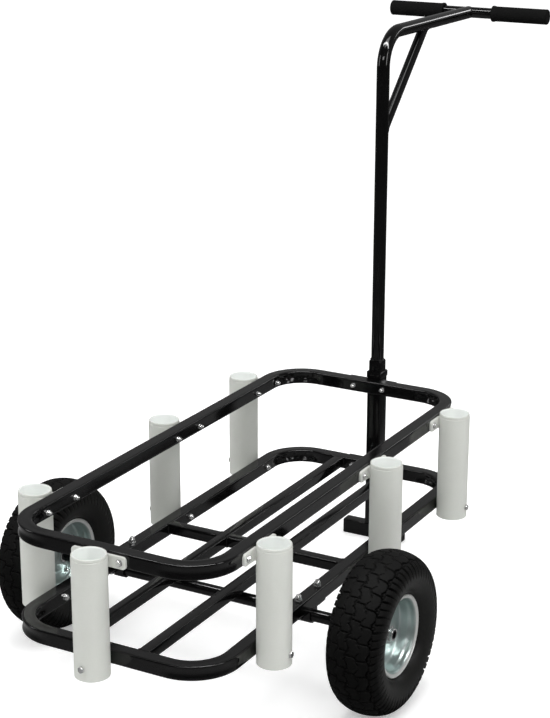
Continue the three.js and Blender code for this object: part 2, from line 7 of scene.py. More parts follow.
import bmesh
import bpy
import numpy as np
from mathutils import Euler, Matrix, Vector


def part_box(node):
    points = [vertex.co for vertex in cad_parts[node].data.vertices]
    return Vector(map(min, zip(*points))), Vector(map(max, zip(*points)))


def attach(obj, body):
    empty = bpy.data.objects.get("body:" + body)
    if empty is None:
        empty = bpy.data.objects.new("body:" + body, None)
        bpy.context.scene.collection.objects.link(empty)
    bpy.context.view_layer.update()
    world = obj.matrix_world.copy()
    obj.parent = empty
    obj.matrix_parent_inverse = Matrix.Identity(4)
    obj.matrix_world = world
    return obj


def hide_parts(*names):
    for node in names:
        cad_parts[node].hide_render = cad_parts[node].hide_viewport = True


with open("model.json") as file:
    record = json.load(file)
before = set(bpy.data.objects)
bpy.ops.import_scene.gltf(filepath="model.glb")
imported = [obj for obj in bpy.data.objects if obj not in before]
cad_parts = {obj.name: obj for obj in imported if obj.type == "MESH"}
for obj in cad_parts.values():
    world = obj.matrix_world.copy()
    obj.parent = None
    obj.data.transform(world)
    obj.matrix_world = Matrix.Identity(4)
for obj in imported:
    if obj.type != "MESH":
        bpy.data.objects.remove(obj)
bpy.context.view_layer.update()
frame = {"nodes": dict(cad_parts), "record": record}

MM = 0.001
TURN = 2 * np.pi
X, Y, Z = np.eye(3)
SIDES = (("left", -X), ("right", X))

# Rails
TUBE = 25 * MM
TUBE_EDGE = 2.6 * MM
BEND = 73 * MM
BEND_FADE = 16 * MM
INNER_DENT = 5 * MM
OUTER_DENT = 2.3 * MM
SIDE_SWELL = 0.6 * MM
WRINKLE = 0.55 * MM
WRINKLES = 5

# Floor bars, stand, plates and their welds
BAR = 20 * MM
BAR_EDGE = 2.2 * MM
COLUMN_WALL = 1.5 * MM
BAND_WALL = 1.2 * MM
BAND_EDGE = 3 * MM
PLATE_CORNER = 3 * MM
PLATE_EDGE = 0.6 * MM
PLATE_BOLT = 32 * MM
PLUG_EDGE = 1.6 * MM
BEAD = 1.6 * MM
BEAD_PITCH = 3.2 * MM
BEAD_SWELL = 0.1
PLATE_BEAD = 2.2 * MM
HANDLE_BEAD = 1.8 * MM

# Rod holders
HOLDERS = 7
HOLDER_RADIUS = 29 * MM
HOLDER_WALL = 3.2 * MM
EAR_PLATE = 4.5 * MM
EAR_REACH = 51 * MM
EAR_HEIGHT = 21 * MM
EAR_DROP = 2 * MM
EAR_CORNER = 6 * MM
EAR_FILLET = 1.5 * MM
EAR_BOLT = 39.2 * MM

# Fasteners
WASHER_RADIUS = 6.3 * MM
WASHER_HEIGHT = 1.1 * MM
HEAD_ACROSS = 9 * MM
HEAD_HEIGHT = 3.6 * MM
THREAD_RADIUS = 2.9 * MM
THREAD_SHOWN = 3 * MM
THREAD_PITCH = 1 * MM
THREAD_DEPTH = 0.12
THREAD_TIP = 0.3
NUT_HEIGHT = 4.6 * MM
EAR_NUT_ACROSS = 8 * MM
EAR_NUT_WASHER = 5 * MM
REST_BOLT_RADIUS = 3 * MM
REST_BOLT_ACROSS = 10 * MM
REST_HEAD_HEIGHT = 4 * MM
REST_NUT_HEIGHT = 5 * MM
REST_NUT_IN = 8 * MM
AXLE_NUT_ACROSS = 11 * MM
AXLE_NUT_HEIGHT = 6 * MM
AXLE_WASHER = 6.6 * MM
AXLE_THREAD = 4 * MM

# Axle and wheels
AXLE_CLEAR = 8.3 * MM
AXLE_BORE = 6 * MM
AXLE_BORE_DEPTH = 20 * MM
HUB_BORE = 11.3 * MM
HUB_RADIUS = 14 * MM
BUSH_RADIUS = 11 * MM
BUSH_FLANGE = 13 * MM
BUSH_FLANGE_DEPTH = 1.5 * MM
VALVE_RADIUS = 4 * MM
VALVE_CAP = 3 * MM
VALVE_TIP = 2.4 * MM
SHEET = 2 * MM
RIM_FLANGE = 66 * MM
RIM_BOLT_CIRCLE = 44 * MM
RIM_BOLT_SEAT = 2.3 * MM
RIM_TURN = math.radians(155)
RIM_SQUARENESS = 9.0
RIM_CORNER = 2.7 * MM
# A rim half from the hub out: radius and height in mm, and 1 where the outline is square.
RIM_ROWS = [
    (14.4, 11.5, 0), (17, 11.5, 1), (34, 0.3, 1), (52, 0.3, 0), (57, 0.3, 0), (60.5, 2.2, 0), (61.5, 6, 0),
    (61.5, 16, 0), (62.3, 18.5, 0), (63.5, 21, 0), (63.5, 28.3, 0), (66, 30, 0), (69.2, 30.3, 0),
    (70.6, 31.6, 0),
]

# Tyre
BEAD_SEAT = 64 * MM
BEAD_WIDTH = 32.5 * MM
# The rows next to the bead: height above its seat, and distance in from its width, in mm.
BEAD_ROWS = [(0, 4.3), (4, 2.6), (8.5, 1.2)]
# The sidewall from bead to crown, as shares of the tyre's height above the bead and of its half width.
SIDEWALL = [(0.16, 0.76), (0.29, 0.91), (0.43, 0.985), (0.57, 0.996), (0.71, 0.945), (0.82, 0.82),
            (0.907, 0.64), (0.973, 0.36)]
# The inside, as radius and place along the axle in mm.
TYRE_INSIDE = [(64, -20), (100, -39), (126, -22), (127, 22), (100, 39), (64, 20)]
TREAD_RADIUS = 140 * MM
TREAD_DEPTH = 5 * MM
TREAD_PITCHES = 30
TREAD_ROW = 38 * MM
TREAD_GROOVE = 0.9 * MM
TREAD_WALL = 0.9 * MM
TREAD_COLUMNS = 22
ZIGZAG = 2.6 * MM
ZIGZAG_STEEPNESS = 2.2
TOOTH = 1 * MM
TEETH = 5
STEP = 3 * MM
STEP_WIDTH = 1.2 * MM
SLIT_DEPTH = 0.75
EDGE_DEPTH = 0.35
SHOULDER_START = 40 * MM
SHOULDER_END = 73 * MM
LUG_SHIFT = 0.12
LUG_SLANT = 0.3

# Handle
HANDLE_RADIUS = 12.7 * MM
HANDLE_BEND = 65 * MM
HANDLE_FLATTENING = 0.05
HANDLE_NOTCH = 0.6 * MM
SLEEVE_EDGE = 2.4 * MM
SLEEVE_BEVEL = 3 * MM
SLEEVE_DEPTH = 100 * MM
BRACE_RADIUS = 10 * MM
BRACE_LEG = 190 * MM
BAR_RADIUS = 11.1 * MM
GRIP_RADIUS = 15.5 * MM
GRIP_LIP = 1.1 * MM
GRIP_RIBS = 40
GRIP_RIB = 0.45 * MM

# Materials: shared effects


def new_group(name, inputs, outputs):
    """An empty node group with float inputs {name: default} and outputs {name: socket type}."""
    group = bpy.data.node_groups.new(name, "ShaderNodeTree")
    for label, default in inputs.items():
        socket = group.interface.new_socket(label, in_out="INPUT", socket_type="NodeSocketFloat")
        socket.default_value = default
    for label, kind in outputs.items():
        group.interface.new_socket(label, in_out="OUTPUT", socket_type=kind)
    return group, group.nodes.new("NodeGroupInput").outputs, group.nodes.new("NodeGroupOutput").inputs


def add(tree, kind, inputs=None, **settings):
    """A node with its settings, and its inputs as values or as other nodes' outputs."""
    node = tree.nodes.new(kind)
    for key, value in settings.items():
        setattr(node, key, value)
    for key, value in (inputs or {}).items():
        if isinstance(value, bpy.types.NodeSocket):
            tree.links.new(value, node.inputs[key])
        else:
            node.inputs[key].default_value = value
    return node


def maths(tree, operation, first, second=0.0):
    return add(tree, "ShaderNodeMath", {0: first, 1: second}, operation=operation).outputs[0]


def vector_maths(tree, operation, first, second=(0, 0, 0)):
    return add(tree, "ShaderNodeVectorMath", {0: first, 1: second}, operation=operation).outputs


def own_place(tree):
    """Where a point lies in the object's own coordinates."""
    return add(tree, "ShaderNodeTexCoord").outputs["Object"]


def noise(tree, scale, detail=3.0, roughness=0.5):
    inputs = {"Vector": own_place(tree), "Scale": scale, "Detail": detail, "Roughness": roughness}
    return add(tree, "ShaderNodeTexNoise", inputs).outputs["Fac"]


def ramp(tree, value, low, high, start=0.0, end=1.0):
    """A value carried from low..high to start..end, held at its ends."""
    inputs = {"Value": value, "From Min": low, "From Max": high, "To Min": start, "To Max": end}
    return add(tree, "ShaderNodeMapRange", inputs).outputs["Result"]


def mixed(tree, mask, first, second):
    """The first colour where the mask is 0, and the second where it is 1."""
    first, second = (c if isinstance(c, bpy.types.NodeSocket) else (*c, 1) for c in (first, second))
    inputs = {"Factor": mask, 6: first, 7: second}
    return add(tree, "ShaderNodeMix", inputs, data_type="RGBA").outputs[2]


def chosen(tree, mask, first, second):
    """The first value where the mask is 0, and the second where it is 1."""
    return add(tree, "ShaderNodeMix", {"Factor": mask, "A": first, "B": second}).outputs["Result"]


def make_mottle_group():
    """Two layers of noise, broad patches and fine specks, as one mask from 0 to 1."""
    inputs = {"Broad scale": 8.0, "Fine scale": 220.0, "Fine share": 0.4}
    group, given, out = new_group("mottle", inputs, {"Mask": "NodeSocketFloat"})
    broad = ramp(group, noise(group, given["Broad scale"], 4.0, 0.6), 0.3, 0.7)
    fine = ramp(group, noise(group, given["Fine scale"], 2.0), 0.35, 0.7)
    fine_part = maths(group, "MULTIPLY", fine, given["Fine share"])
    broad_part = maths(group, "MULTIPLY", broad, maths(group, "SUBTRACT", 1.0, given["Fine share"]))
    group.links.new(maths(group, "ADD", broad_part, fine_part), out["Mask"])
    return group


def make_dust_group():
    """Dust that gathers low down, broken up by noise."""
    inputs = {"Low": 0.0, "High": 0.2, "Amount": 0.3}
    group, given, out = new_group("dust", inputs, {"Mask": "NodeSocketFloat"})
    height = add(group, "ShaderNodeSeparateXYZ", {"Vector": own_place(group)}).outputs["Z"]
    low = ramp(group, height, given["Low"], given["High"], 1.0, 0.25)
    specks = ramp(group, noise(group, 60.0, 5.0, 0.65), 0.42, 0.68)
    mask = maths(group, "MULTIPLY", maths(group, "MULTIPLY", low, specks), given["Amount"])
    group.links.new(mask, out["Mask"])
    return group


def make_peel_group():
    """The orange peel of a sprayed or moulded skin: fine waves on slow ones, as a normal."""
    group, given, out = new_group("peel", {"Scale": 500.0, "Height": 0.1}, {"Normal": "NodeSocketVector"})
    fine = noise(group, given["Scale"], 2.0)
    slow = noise(group, maths(group, "MULTIPLY", given["Scale"], 0.12), 1.0)
    waves = maths(group, "ADD", maths(group, "MULTIPLY", fine, 0.35), slow)
    inputs = {"Strength": given["Height"], "Distance": 0.4 * MM, "Height": waves}
    group.links.new(add(group, "ShaderNodeBump", inputs).outputs["Normal"], out["Normal"])
    return group


MOTTLE = make_mottle_group()
DUST = make_dust_group()
PEEL = make_peel_group()


def use(tree, group, **inputs):
    node = add(tree, "ShaderNodeGroup", node_tree=group)
    for key, value in inputs.items():
        node.inputs[key.replace("_", " ").capitalize()].default_value = value
    return node.outputs[0]


def mottled(tree, broad, fine, share):
    return use(tree, MOTTLE, broad_scale=broad, fine_scale=fine, fine_share=share)


def rough(tree, mottle, low, high, mask=None, more=0.0):
    """Roughness that goes from low to high with the mottle, and up by more under a mask."""
    plain = ramp(tree, mottle, 0.0, 1.0, low, high)
    if mask is None:
        return plain
    return maths(tree, "ADD", plain, maths(tree, "MULTIPLY", mask, more))


def new_material(name, **constants):
    material = bpy.data.materials.new(name)
    material.use_nodes = True
    shader = material.node_tree.nodes["Principled BSDF"]
    for key, value in constants.items():
        shader.inputs[key.replace("_", " ")].default_value = value
    return material, material.node_tree, shader


def finished(new, colour, roughness, peel_scale, peel_height):
    """Joins a finish's colour, roughness and orange peel to its shader."""
    material, tree, shader = new
    peel = use(tree, PEEL, scale=peel_scale, height=peel_height)
    for socket, value in (("Base Color", colour), ("Roughness", roughness), ("Normal", peel)):
        tree.links.new(value, shader.inputs[socket])
    return material


def from_axle(tree):
    """The distance from the axle's line. Both wheels turn on it, so it is the same at every turn."""
    low, high = (Vector(corner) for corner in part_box("axle_rod"))
    centred = vector_maths(tree, "SUBTRACT", own_place(tree), (low + high) / 2)[0]
    square = vector_maths(tree, "MULTIPLY", centred, (0, 1, 1))[0]
    return vector_maths(tree, "LENGTH", square)["Value"]


def powder_coat():
    """Glossy black powder coat: orange peel, faint dust, and slow changes of gloss."""
    new = _, tree, _ = new_material("black powder coat", Specular_IOR_Level=0.42)
    mottle = mottled(tree, 6.0, 260.0, 0.3)
    dust = use(tree, DUST, low=0.05, high=0.5, amount=0.05)
    black = mixed(tree, mottle, (0.0012, 0.0012, 0.0013), (0.0024, 0.0024, 0.0025))
    dusty = mixed(tree, dust, black, (0.03, 0.029, 0.027))
    return finished(new, dusty, rough(tree, mottle, 0.07, 0.13, dust, 0.5), 420.0, 0.06)


def zinc():
    """Pressed steel with a passivated zinc coat: greenish and bluish clouds and a soft grain, and a
    rolled flange painted near white, a painted highlight."""
    new = _, tree, _ = new_material("zinc plate", Metallic=0.93)
    mottle = mottled(tree, 22.0, 400.0, 0.35)
    clouds = ramp(tree, noise(tree, 14.0, 3.0), 0.35, 0.65)
    green_and_blue = mixed(tree, clouds, (0.47, 0.56, 0.53), (0.53, 0.60, 0.60))
    cloudy = mixed(tree, mottle, green_and_blue, (0.58, 0.65, 0.63))
    # Painted highlight: the rolled flange, found by its distance from the axle, is painted near white.
    flange = ramp(tree, from_axle(tree), RIM_FLANGE - 2.5 * MM, RIM_FLANGE - 0.5 * MM)
    colour = mixed(tree, flange, cloudy, (0.95, 0.96, 0.94))
    return finished(new, colour, rough(tree, mottle, 0.27, 0.36, flange, 0.14), 900.0, 0.05)


def bright_steel():
    """Bright plated steel of bolts, nuts, washers, bushes and collars."""
    new = _, tree, _ = new_material("plated fastener", Metallic=0.85)
    mottle = mottled(tree, 120.0, 900.0, 0.5)
    colour = mixed(tree, mottle, (0.50, 0.505, 0.51), (0.86, 0.86, 0.85))
    return finished(new, colour, rough(tree, mottle, 0.13, 0.26), 1500.0, 0.1)


def tyre_rubber():
    """Near-black rubber: a dull tread, and a sidewall, nearer the axle, with more gloss. The same rubber
    is painted lighter on the sidewall, a painted sheen, and darker on the tread, painted shade.
    """
    new = _, tree, _ = new_material("tyre rubber", Specular_IOR_Level=0.13)
    tread = ramp(tree, from_axle(tree), 104 * MM, 120 * MM)
    mottle = mottled(tree, 14.0, 300.0, 0.5)
    dust = use(tree, DUST, low=0.02, high=0.3, amount=0.05)
    # Painted sheen: the sidewall's rubber is painted lighter than the tread's.
    wall = mixed(tree, mottle, (0.008, 0.008, 0.0076), (0.0125, 0.0125, 0.012))
    # Painted shade: the tread, found by its distance from the axle, is painted darker than the sidewall.
    rubber = mixed(tree, tread, wall, (0.0014, 0.0014, 0.0012))
    dusty = mixed(tree, dust, rubber, (0.04, 0.038, 0.034))
    return finished(new, dusty, rough(tree, mottle, 0.32, 0.44, tread, 0.36), 1200.0, 0.3)


def white_plastic():
    """Satin white moulding, faintly uneven, with dull scuffs. Some light passes the wall, so the bore, which
    the attribute bore marks, is painted paler and a little green and given a faint glow: painted light."""
    new = _, tree, shader = new_material(
        "white moulding", Subsurface_Weight=0.35, Subsurface_Scale=1.0,
        Subsurface_Radius=(0.006, 0.0065, 0.006), Emission_Strength=1.0,
    )
    mottle = mottled(tree, 9.0, 340.0, 0.25)
    scuff = ramp(tree, noise(tree, 34.0, 6.0, 0.7), 0.62, 0.72, 0.0, 0.2)
    white = mixed(tree, mottle, (0.60, 0.61, 0.575), (0.64, 0.65, 0.615))
    worn = mixed(tree, scuff, white, (0.54, 0.54, 0.51))
    bore = add(tree, "ShaderNodeAttribute", attribute_name="bore").outputs["Fac"]
    # Painted light: a faint glow on the bore, standing in for light that passes the wall.
    tree.links.new(mixed(tree, bore, (0, 0, 0), (0.026, 0.03, 0.026)), shader.inputs["Emission Color"])
    # Painted light: the bore is painted paler and greener than the outer wall.
    colour = mixed(tree, bore, worn, (0.945, 0.97, 0.95))
    return finished(new, colour, rough(tree, mottle, 0.38, 0.5, scuff, 0.6), 700.0, 0.08)


def black_plastic():
    """The dull black of plugs and valves."""
    new = _, tree, _ = new_material("black moulding", Specular_IOR_Level=0.35)
    mottle = mottled(tree, 30.0, 500.0, 0.5)
    colour = mixed(tree, mottle, (0.007, 0.007, 0.007), (0.014, 0.014, 0.014))
    return finished(new, colour, rough(tree, mottle, 0.4, 0.58), 1100.0, 0.25)


def grip_foam():
    """Matt black grip rubber with open pores."""
    new = _, tree, _ = new_material("grip rubber", Specular_IOR_Level=0.12)
    mottle = mottled(tree, 40.0, 900.0, 0.6)
    colour = mixed(tree, mottle, (0.0012, 0.0012, 0.0012), (0.0042, 0.0042, 0.004))
    return finished(new, colour, rough(tree, mottle, 0.78, 0.95), 1600.0, 0.5)


FINISHES = {
    "black_powder_coat": powder_coat(),
    "zinc_plate": zinc(),
    "steel": bright_steel(),
    "tyre_rubber": tyre_rubber(),
    "white_plastic": white_plastic(),
    "black_plastic": black_plastic(),
    "grip_foam": grip_foam(),
}
SLOT_OF = {entry["node"]: entry["material_slot"] for entry in frame["record"]["subparts"]}
for node_name, node in frame["nodes"].items():
    node.data.materials.clear()
    node.data.materials.append(FINISHES[SLOT_OF[node_name]])

# Surfaces


def unit(vectors):
    return vectors / np.linalg.norm(vectors, axis=-1, keepdims=True)


def smooth_step(value, low, high):
    """0 below low, 1 above high, and 3t^2 - 2t^3 between."""
    t = np.clip((value - low) / (high - low), 0, 1)
    return t * t * (3 - 2 * t)


def gone_along(points):
    """How far along a line of points each of them lies."""
    return np.concatenate([[0], np.cumsum(np.linalg.norm(np.diff(points, axis=0), axis=1))])


def at_lengths(points, lengths, wanted):
    """The points that lie at the wanted lengths along a line of points."""
    return np.stack([np.interp(wanted, lengths, points[:, i]) for i in range(points.shape[1])], -1)


def shell(points, wrap_rows=False):
    """A grid of points [rows, columns, 3], closed across its columns, as points and its quads."""
    rows, columns = points.shape[:2]
    row, column = np.meshgrid(np.arange(rows if wrap_rows else rows - 1), np.arange(columns), indexing="ij")
    below, beside = (row + 1) % rows, (column + 1) % columns
    corners = [(row, column), (below, column), (below, beside), (row, beside)]
    faces = np.stack([r * columns + c for r, c in corners], -1).reshape(-1, 4)
    return points.reshape(-1, 3), faces


def capped(points):
    """A tube's grid with each end drawn in to its middle."""
    ends = [np.broadcast_to(points[i].mean(axis=0), points[i].shape)[None] for i in (0, -1)]
    return np.concatenate([ends[0], points, ends[1]])


def softened(corners, radius, steps=4, closed=False):
    """A polyline whose corners are replaced by short quadratic curves, radius long on each side."""
    corners = np.asarray(corners, float)
    radii = np.broadcast_to(np.asarray(radius, float), len(corners))[:, None]

    def towards(other):
        distance = np.linalg.norm(other - corners, axis=1, keepdims=True)
        return corners + (other - corners) * np.minimum(radii / np.maximum(distance, 1e-9), 0.5)

    start, end = towards(np.roll(corners, 1, axis=0)), towards(np.roll(corners, -1, axis=0))
    t = np.linspace(0, 1, steps + 1)[None, :, None]
    curves = (1 - t) ** 2 * start[:, None] + 2 * t * (1 - t) * corners[:, None] + t**2 * end[:, None]
    points = curves.reshape(-1, 2)
    if closed:
        return points
    return np.concatenate([corners[:1], points[steps + 1 : -(steps + 1)], corners[-1:]])


def rounded_box(width, height, radius, steps=4, per_side=1):
    """The outline of a rectangle with quarter-circle corners, anticlockwise, with points between."""
    quarter = np.linspace(0, np.pi / 2, steps + 1)
    arcs = [
        np.stack([sx * (width / 2 - radius) + radius * np.cos(quarter + i * np.pi / 2),
                  sy * (height / 2 - radius) + radius * np.sin(quarter + i * np.pi / 2)], -1)
        for i, (sx, sy) in enumerate([(1, 1), (-1, 1), (-1, -1), (1, -1)])
    ]
    shares = np.arange(1, per_side)[:, None] / per_side
    sides = [arcs[i][-1] + shares * (arcs[(i + 1) % 4][0] - arcs[i][-1]) for i in range(4)]
    return np.concatenate([part for pair in zip(arcs, sides) for part in pair])


def circle(radius, sides):
    angles = np.linspace(0, TURN, sides, endpoint=False)
    return radius * np.stack([np.cos(angles), np.sin(angles)], -1)


def swept(centres, sides, ups, section):
    """A section (x, y) carried along a path: centre + x * side + y * up."""
    section = np.broadcast_to(section, (len(centres), *np.shape(section)[-2:]))
    return centres[:, None] + section[..., :1] * sides[:, None] + section[..., 1:] * ups[:, None]


def straight(start, end, section, side, up, softness=0.0):
    """A bar of one section from start to end. Softness draws its ends in, as a quarter circle does."""
    length = np.linalg.norm(end - start)
    angle = np.linspace(0, np.pi / 2, 5) if softness else np.array([np.pi / 2])
    inset = softness * (1 - np.cos(angle - np.pi / 2))
    lead = softness * (1 - np.sin(angle))
    along = np.concatenate([lead, (length - lead)[::-1]])
    shrink = np.concatenate([inset, inset[::-1]])
    sections = section[None] * (1 - shrink / np.abs(section).max())[:, None, None]
    centres = start + along[:, None] * (end - start) / length
    ways = np.broadcast_to(side, centres.shape), np.broadcast_to(up, centres.shape)
    return shell(capped(swept(centres, *ways, sections)))


def stacked(levels, middle):
    """A closed skin of outlines (x, y), each at its height."""
    rings = [np.column_stack([outline + middle[:2], np.full(len(outline), z)]) for outline, z in levels]
    return shell(np.stack(rings), wrap_rows=True)


def around(axis):
    """Two directions square to an axis."""
    first = unit(np.cross(Z if abs(axis[2]) < 0.9 else X, axis))
    return first, np.cross(axis, first)


def spokes_about(axis, angles):
    """The directions at some angles about an axis: cos * first + sin * second."""
    first, second = around(axis)
    return np.cos(angles)[..., None] * first + np.sin(angles)[..., None] * second


def revolved(profile, centre, axis, sides=64, closed=False, shape=None):
    """A profile of (radius, along) turned about an axis. Shape, if given, changes each radius by angle."""
    profile = np.asarray(profile, float)
    angles = np.linspace(0, TURN, sides, endpoint=False)
    radius = profile[:, :1] * np.ones(sides)
    if shape is not None:
        radius = shape(radius, angles[None, :], profile[:, 1:])
    points = centre + radius[..., None] * spokes_about(axis, angles) + profile[:, None, 1:] * axis
    return shell(points, wrap_rows=closed)


def turned(corners, softness, steps, centre, axis, sides, closed=True):
    """An outline of (radius, along) with softened corners, turned about an axis."""
    return revolved(softened(corners, softness, steps, closed), centre, axis, sides, closed)


def band(inner, outer, start, end):
    """The outline of a sleeve's wall, or of a rod where the inner radius is 0."""
    return [(inner, start), (outer, start), (outer, end), (inner, end)]


def hexagonal(across, chamfer_from, chamfer_to):
    """The radius of a hexagon at an angle, cut down by a cone from one height up to another."""

    def shape(radius, angle, along):
        corner = np.mod(angle + np.pi / 6, np.pi / 3) - np.pi / 6
        flat = across / 2 / np.cos(corner)
        share = np.clip((along - chamfer_from) / (chamfer_to - chamfer_from), 0, 1)
        cone = across / 2 * (2 / np.sqrt(3) - 0.2 * share)
        return np.where(radius > 0, np.minimum(flat, cone), 0)

    return shape


def smooth_curve(points, count):
    """A Catmull-Rom curve through the points, at count even steps of its length."""
    points = np.asarray(points, float)
    padded = np.concatenate([2 * points[:1] - points[1:2], points, 2 * points[-1:] - points[-2:-1]])
    p0, p1, p2, p3 = (padded[i : len(padded) - 3 + i][:, None] for i in range(4))
    t = np.linspace(0, 1, 16, endpoint=False)[None, :, None]
    curve = 0.5 * (2 * p1 + (p2 - p0) * t + (2 * p0 - 5 * p1 + 4 * p2 - p3) * t**2
                   + (3 * p1 - p0 - 3 * p2 + p3) * t**3)
    curve = np.concatenate([curve.reshape(-1, points.shape[1]), points[-1:]])
    lengths = gone_along(curve)
    return at_lengths(curve, lengths, np.linspace(0, lengths[-1], count))


MERGE = 1e-6


def placed(name, data):
    """A new object in the scene."""
    made = bpy.data.objects.new(name, data)
    bpy.context.scene.collection.objects.link(made)
    return made


def piece(name, shells, body, slot, stands_for=(), sharp=32):
    """Joins shells into one piece, merges seams and poles, turns faces outwards, and seats it."""
    starts = np.cumsum([0] + [len(points) for points, _ in shells[:-1]])
    points = np.concatenate([points for points, _ in shells])
    faces = np.concatenate([faces + start for (_, faces), start in zip(shells, starts)])
    mesh = bpy.data.meshes.new(name)
    mesh.from_pydata(points.tolist(), [], faces.tolist())
    work = bmesh.new()
    work.from_mesh(mesh)
    bmesh.ops.remove_doubles(work, verts=work.verts, dist=MERGE)
    bmesh.ops.recalc_face_normals(work, faces=work.faces)
    work.to_mesh(mesh)
    work.free()
    mesh.polygons.foreach_set("use_smooth", np.ones(len(mesh.polygons), bool))
    mesh.set_sharp_from_angle(angle=math.radians(sharp))
    mesh.materials.append(FINISHES[slot])
    made = placed(name, mesh)
    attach(made, body)
    if stands_for:
        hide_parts(*stands_for)
    return made


def coated(name, shells, stands_for=(), body="frame"):
    piece(name, shells, body, "black_powder_coat", stands_for)


def plated(name, shells, stands_for=(), body="frame"):
    piece(name, shells, body, "steel", stands_for)


def measured(node):
    """A node's lowest corner, highest corner, middle and size."""
    low, high = (np.array(corner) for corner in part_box(node))
    return low, high, (low + high) / 2, high - low


# Fasteners


def washer(seat, axis, radius=WASHER_RADIUS):
    return turned(band(0, radius, 0, WASHER_HEIGHT), 0.3 * MM, 2, seat, axis, 32, closed=False)


def hex_block(seat, axis, across, height):
    """A hexagonal head on its seat, its top cut to a cone."""
    radius = across / np.sqrt(3)
    edge = 0.75 * height
    rows = [(0, 0), (radius, 0), (radius, edge), (radius, (edge + height) / 2), (radius, height), (0, height)]
    return revolved(rows, seat, axis, 36, shape=hexagonal(across, edge, height))


def thread(seat, axis, radius, length):
    """A bolt's end: shallow thread rounds, radius less a cosine of the length, and a chamfered tip."""
    turns = max(int(length / THREAD_PITCH), 2)
    along = np.linspace(0, length, 4 * turns + 1)
    depth = THREAD_DEPTH * radius * (0.5 - 0.5 * np.cos(TURN * along / THREAD_PITCH))
    tip = radius * THREAD_TIP * smooth_step(along, length - THREAD_PITCH, length)
    body = np.stack([radius - depth - tip, along], -1)
    return revolved(np.concatenate([[(0, 0)], body, [(0, length)]]), seat, axis, 24)


def bolt_head(seat, axis, across=HEAD_ACROSS, height=HEAD_HEIGHT, washer_radius=WASHER_RADIUS):
    return [washer(seat, axis, washer_radius), hex_block(seat + WASHER_HEIGHT * axis, axis, across, height)]


def nut(seat, axis, across=EAR_NUT_ACROSS, height=NUT_HEIGHT, radius=THREAD_RADIUS,
        washer_radius=EAR_NUT_WASHER):
    top = seat + (WASHER_HEIGHT + height) * axis
    tip = thread(top - 0.2 * MM * axis, axis, radius, THREAD_SHOWN)
    return [*bolt_head(seat, axis, across, height, washer_radius), tip]


# Weld beads


def bead(path, ups, radius=BEAD, closed=True, ceiling=None):
    """A weld bead: a round section whose radius swells once every pitch along its path."""
    steps = np.linalg.norm(np.diff(path, axis=0, prepend=path[:1]), axis=1)
    swell = radius * (1 + BEAD_SWELL * np.sin(TURN * np.cumsum(steps) / BEAD_PITCH))
    if closed:
        tangents = unit(np.roll(path, -1, axis=0) - np.roll(path, 1, axis=0))
    else:
        tangents = unit(np.gradient(path, axis=0))
        swell[0] = swell[-1] = 0.3 * radius
    sides = unit(np.cross(tangents, np.broadcast_to(ups, path.shape)))
    section = circle(1.0, 10)[None] * swell[:, None, None]
    points = swept(path, sides, np.cross(sides, tangents), section)
    if ceiling is not None:
        points[..., 2] = np.minimum(points[..., 2], ceiling)
    return shell(points, wrap_rows=True) if closed else shell(capped(points))


def loop_on(outline, centre, first, second, count=90):
    """A closed outline laid at a place, resampled to even steps."""
    closed = np.concatenate([outline, outline[:1]])
    lengths = gone_along(closed)
    flat = at_lengths(closed, lengths, np.linspace(0, lengths[-1], count, endpoint=False))
    return np.asarray(centre) + flat[:, :1] * first + flat[:, 1:] * second


# Frame


def rail_path(half_x, half_y, bend_steps=60, fade_steps=8):
    """A rounded rectangle in plan, with how far each point is bent: 0 on the straights, 1 round a
    bend, and a short fade between. Also the angle within the bend, in turns, for the wrinkles."""
    quarter = np.linspace(0, np.pi / 2, bend_steps + 1)
    lead = np.linspace(-BEND_FADE, 0, fade_steps, endpoint=False)
    angle = np.concatenate([np.zeros(fade_steps), quarter, np.full(fade_steps, np.pi / 2)])
    spare = np.concatenate([lead, np.zeros(bend_steps + 1), -lead[::-1]])
    arc, whole = angle * BEND + spare, BEND * np.pi / 2
    bent = smooth_step(arc, -BEND_FADE, BEND_FADE)
    bent = bent * smooth_step(-arc, -whole - BEND_FADE, BEND_FADE - whole)
    places, normals = [], []
    for i, (sx, sy) in enumerate([(1, 1), (-1, 1), (-1, -1), (1, -1)]):
        centre = np.array([sx * (half_x - BEND), sy * (half_y - BEND)])
        facing = angle + i * np.pi / 2
        normal = np.stack([np.cos(facing), np.sin(facing)], -1)
        tangent = np.stack([-np.sin(facing), np.cos(facing)], -1)
        places.append(centre + BEND * normal + spare[:, None] * tangent)
        normals.append(normal)
    return np.concatenate(places), np.concatenate(normals), np.tile(bent, 4), np.tile(arc / whole, 4)


def rail(node, name):
    """A rail: square tube carried round the path. Round a bend its inner wall sinks in a long dent
    with wrinkles, its outer wall is drawn flat, and its sides swell near the inner wall."""
    _, _, centre, size = measured(node)
    places, normals, bent, wave = rail_path(*(size / 2 - TUBE / 2)[:2])
    section = rounded_box(TUBE, TUBE, TUBE_EDGE, 4, 10)
    out, up = section[None, :, 0], section[None, :, 1]
    bent, wave = bent[:, None], wave[:, None]
    inner = smooth_step(-out, 0.25 * TUBE, 0.5 * TUBE)
    outer = smooth_step(out, 0.25 * TUBE, 0.5 * TUBE)
    across = np.exp(-((up / (0.3 * TUBE)) ** 2))
    wrinkle = WRINKLE * np.sin(TURN * WRINKLES * wave) * across
    dent = inner * (INNER_DENT * across + wrinkle) - outer * OUTER_DENT * across
    swell = SIDE_SWELL * np.exp(-(((out + 0.22 * TUBE) / (0.2 * TUBE)) ** 2)) * np.sign(up)
    swell = swell * smooth_step(np.abs(up), 0.3 * TUBE, 0.5 * TUBE)
    flat = places[:, None] + (out + bent * dent)[..., None] * normals[:, None]
    points = np.concatenate([flat + centre[:2], (up + bent * swell)[..., None] + centre[2]], -1)
    coated(name, [shell(points, wrap_rows=True)], [node])


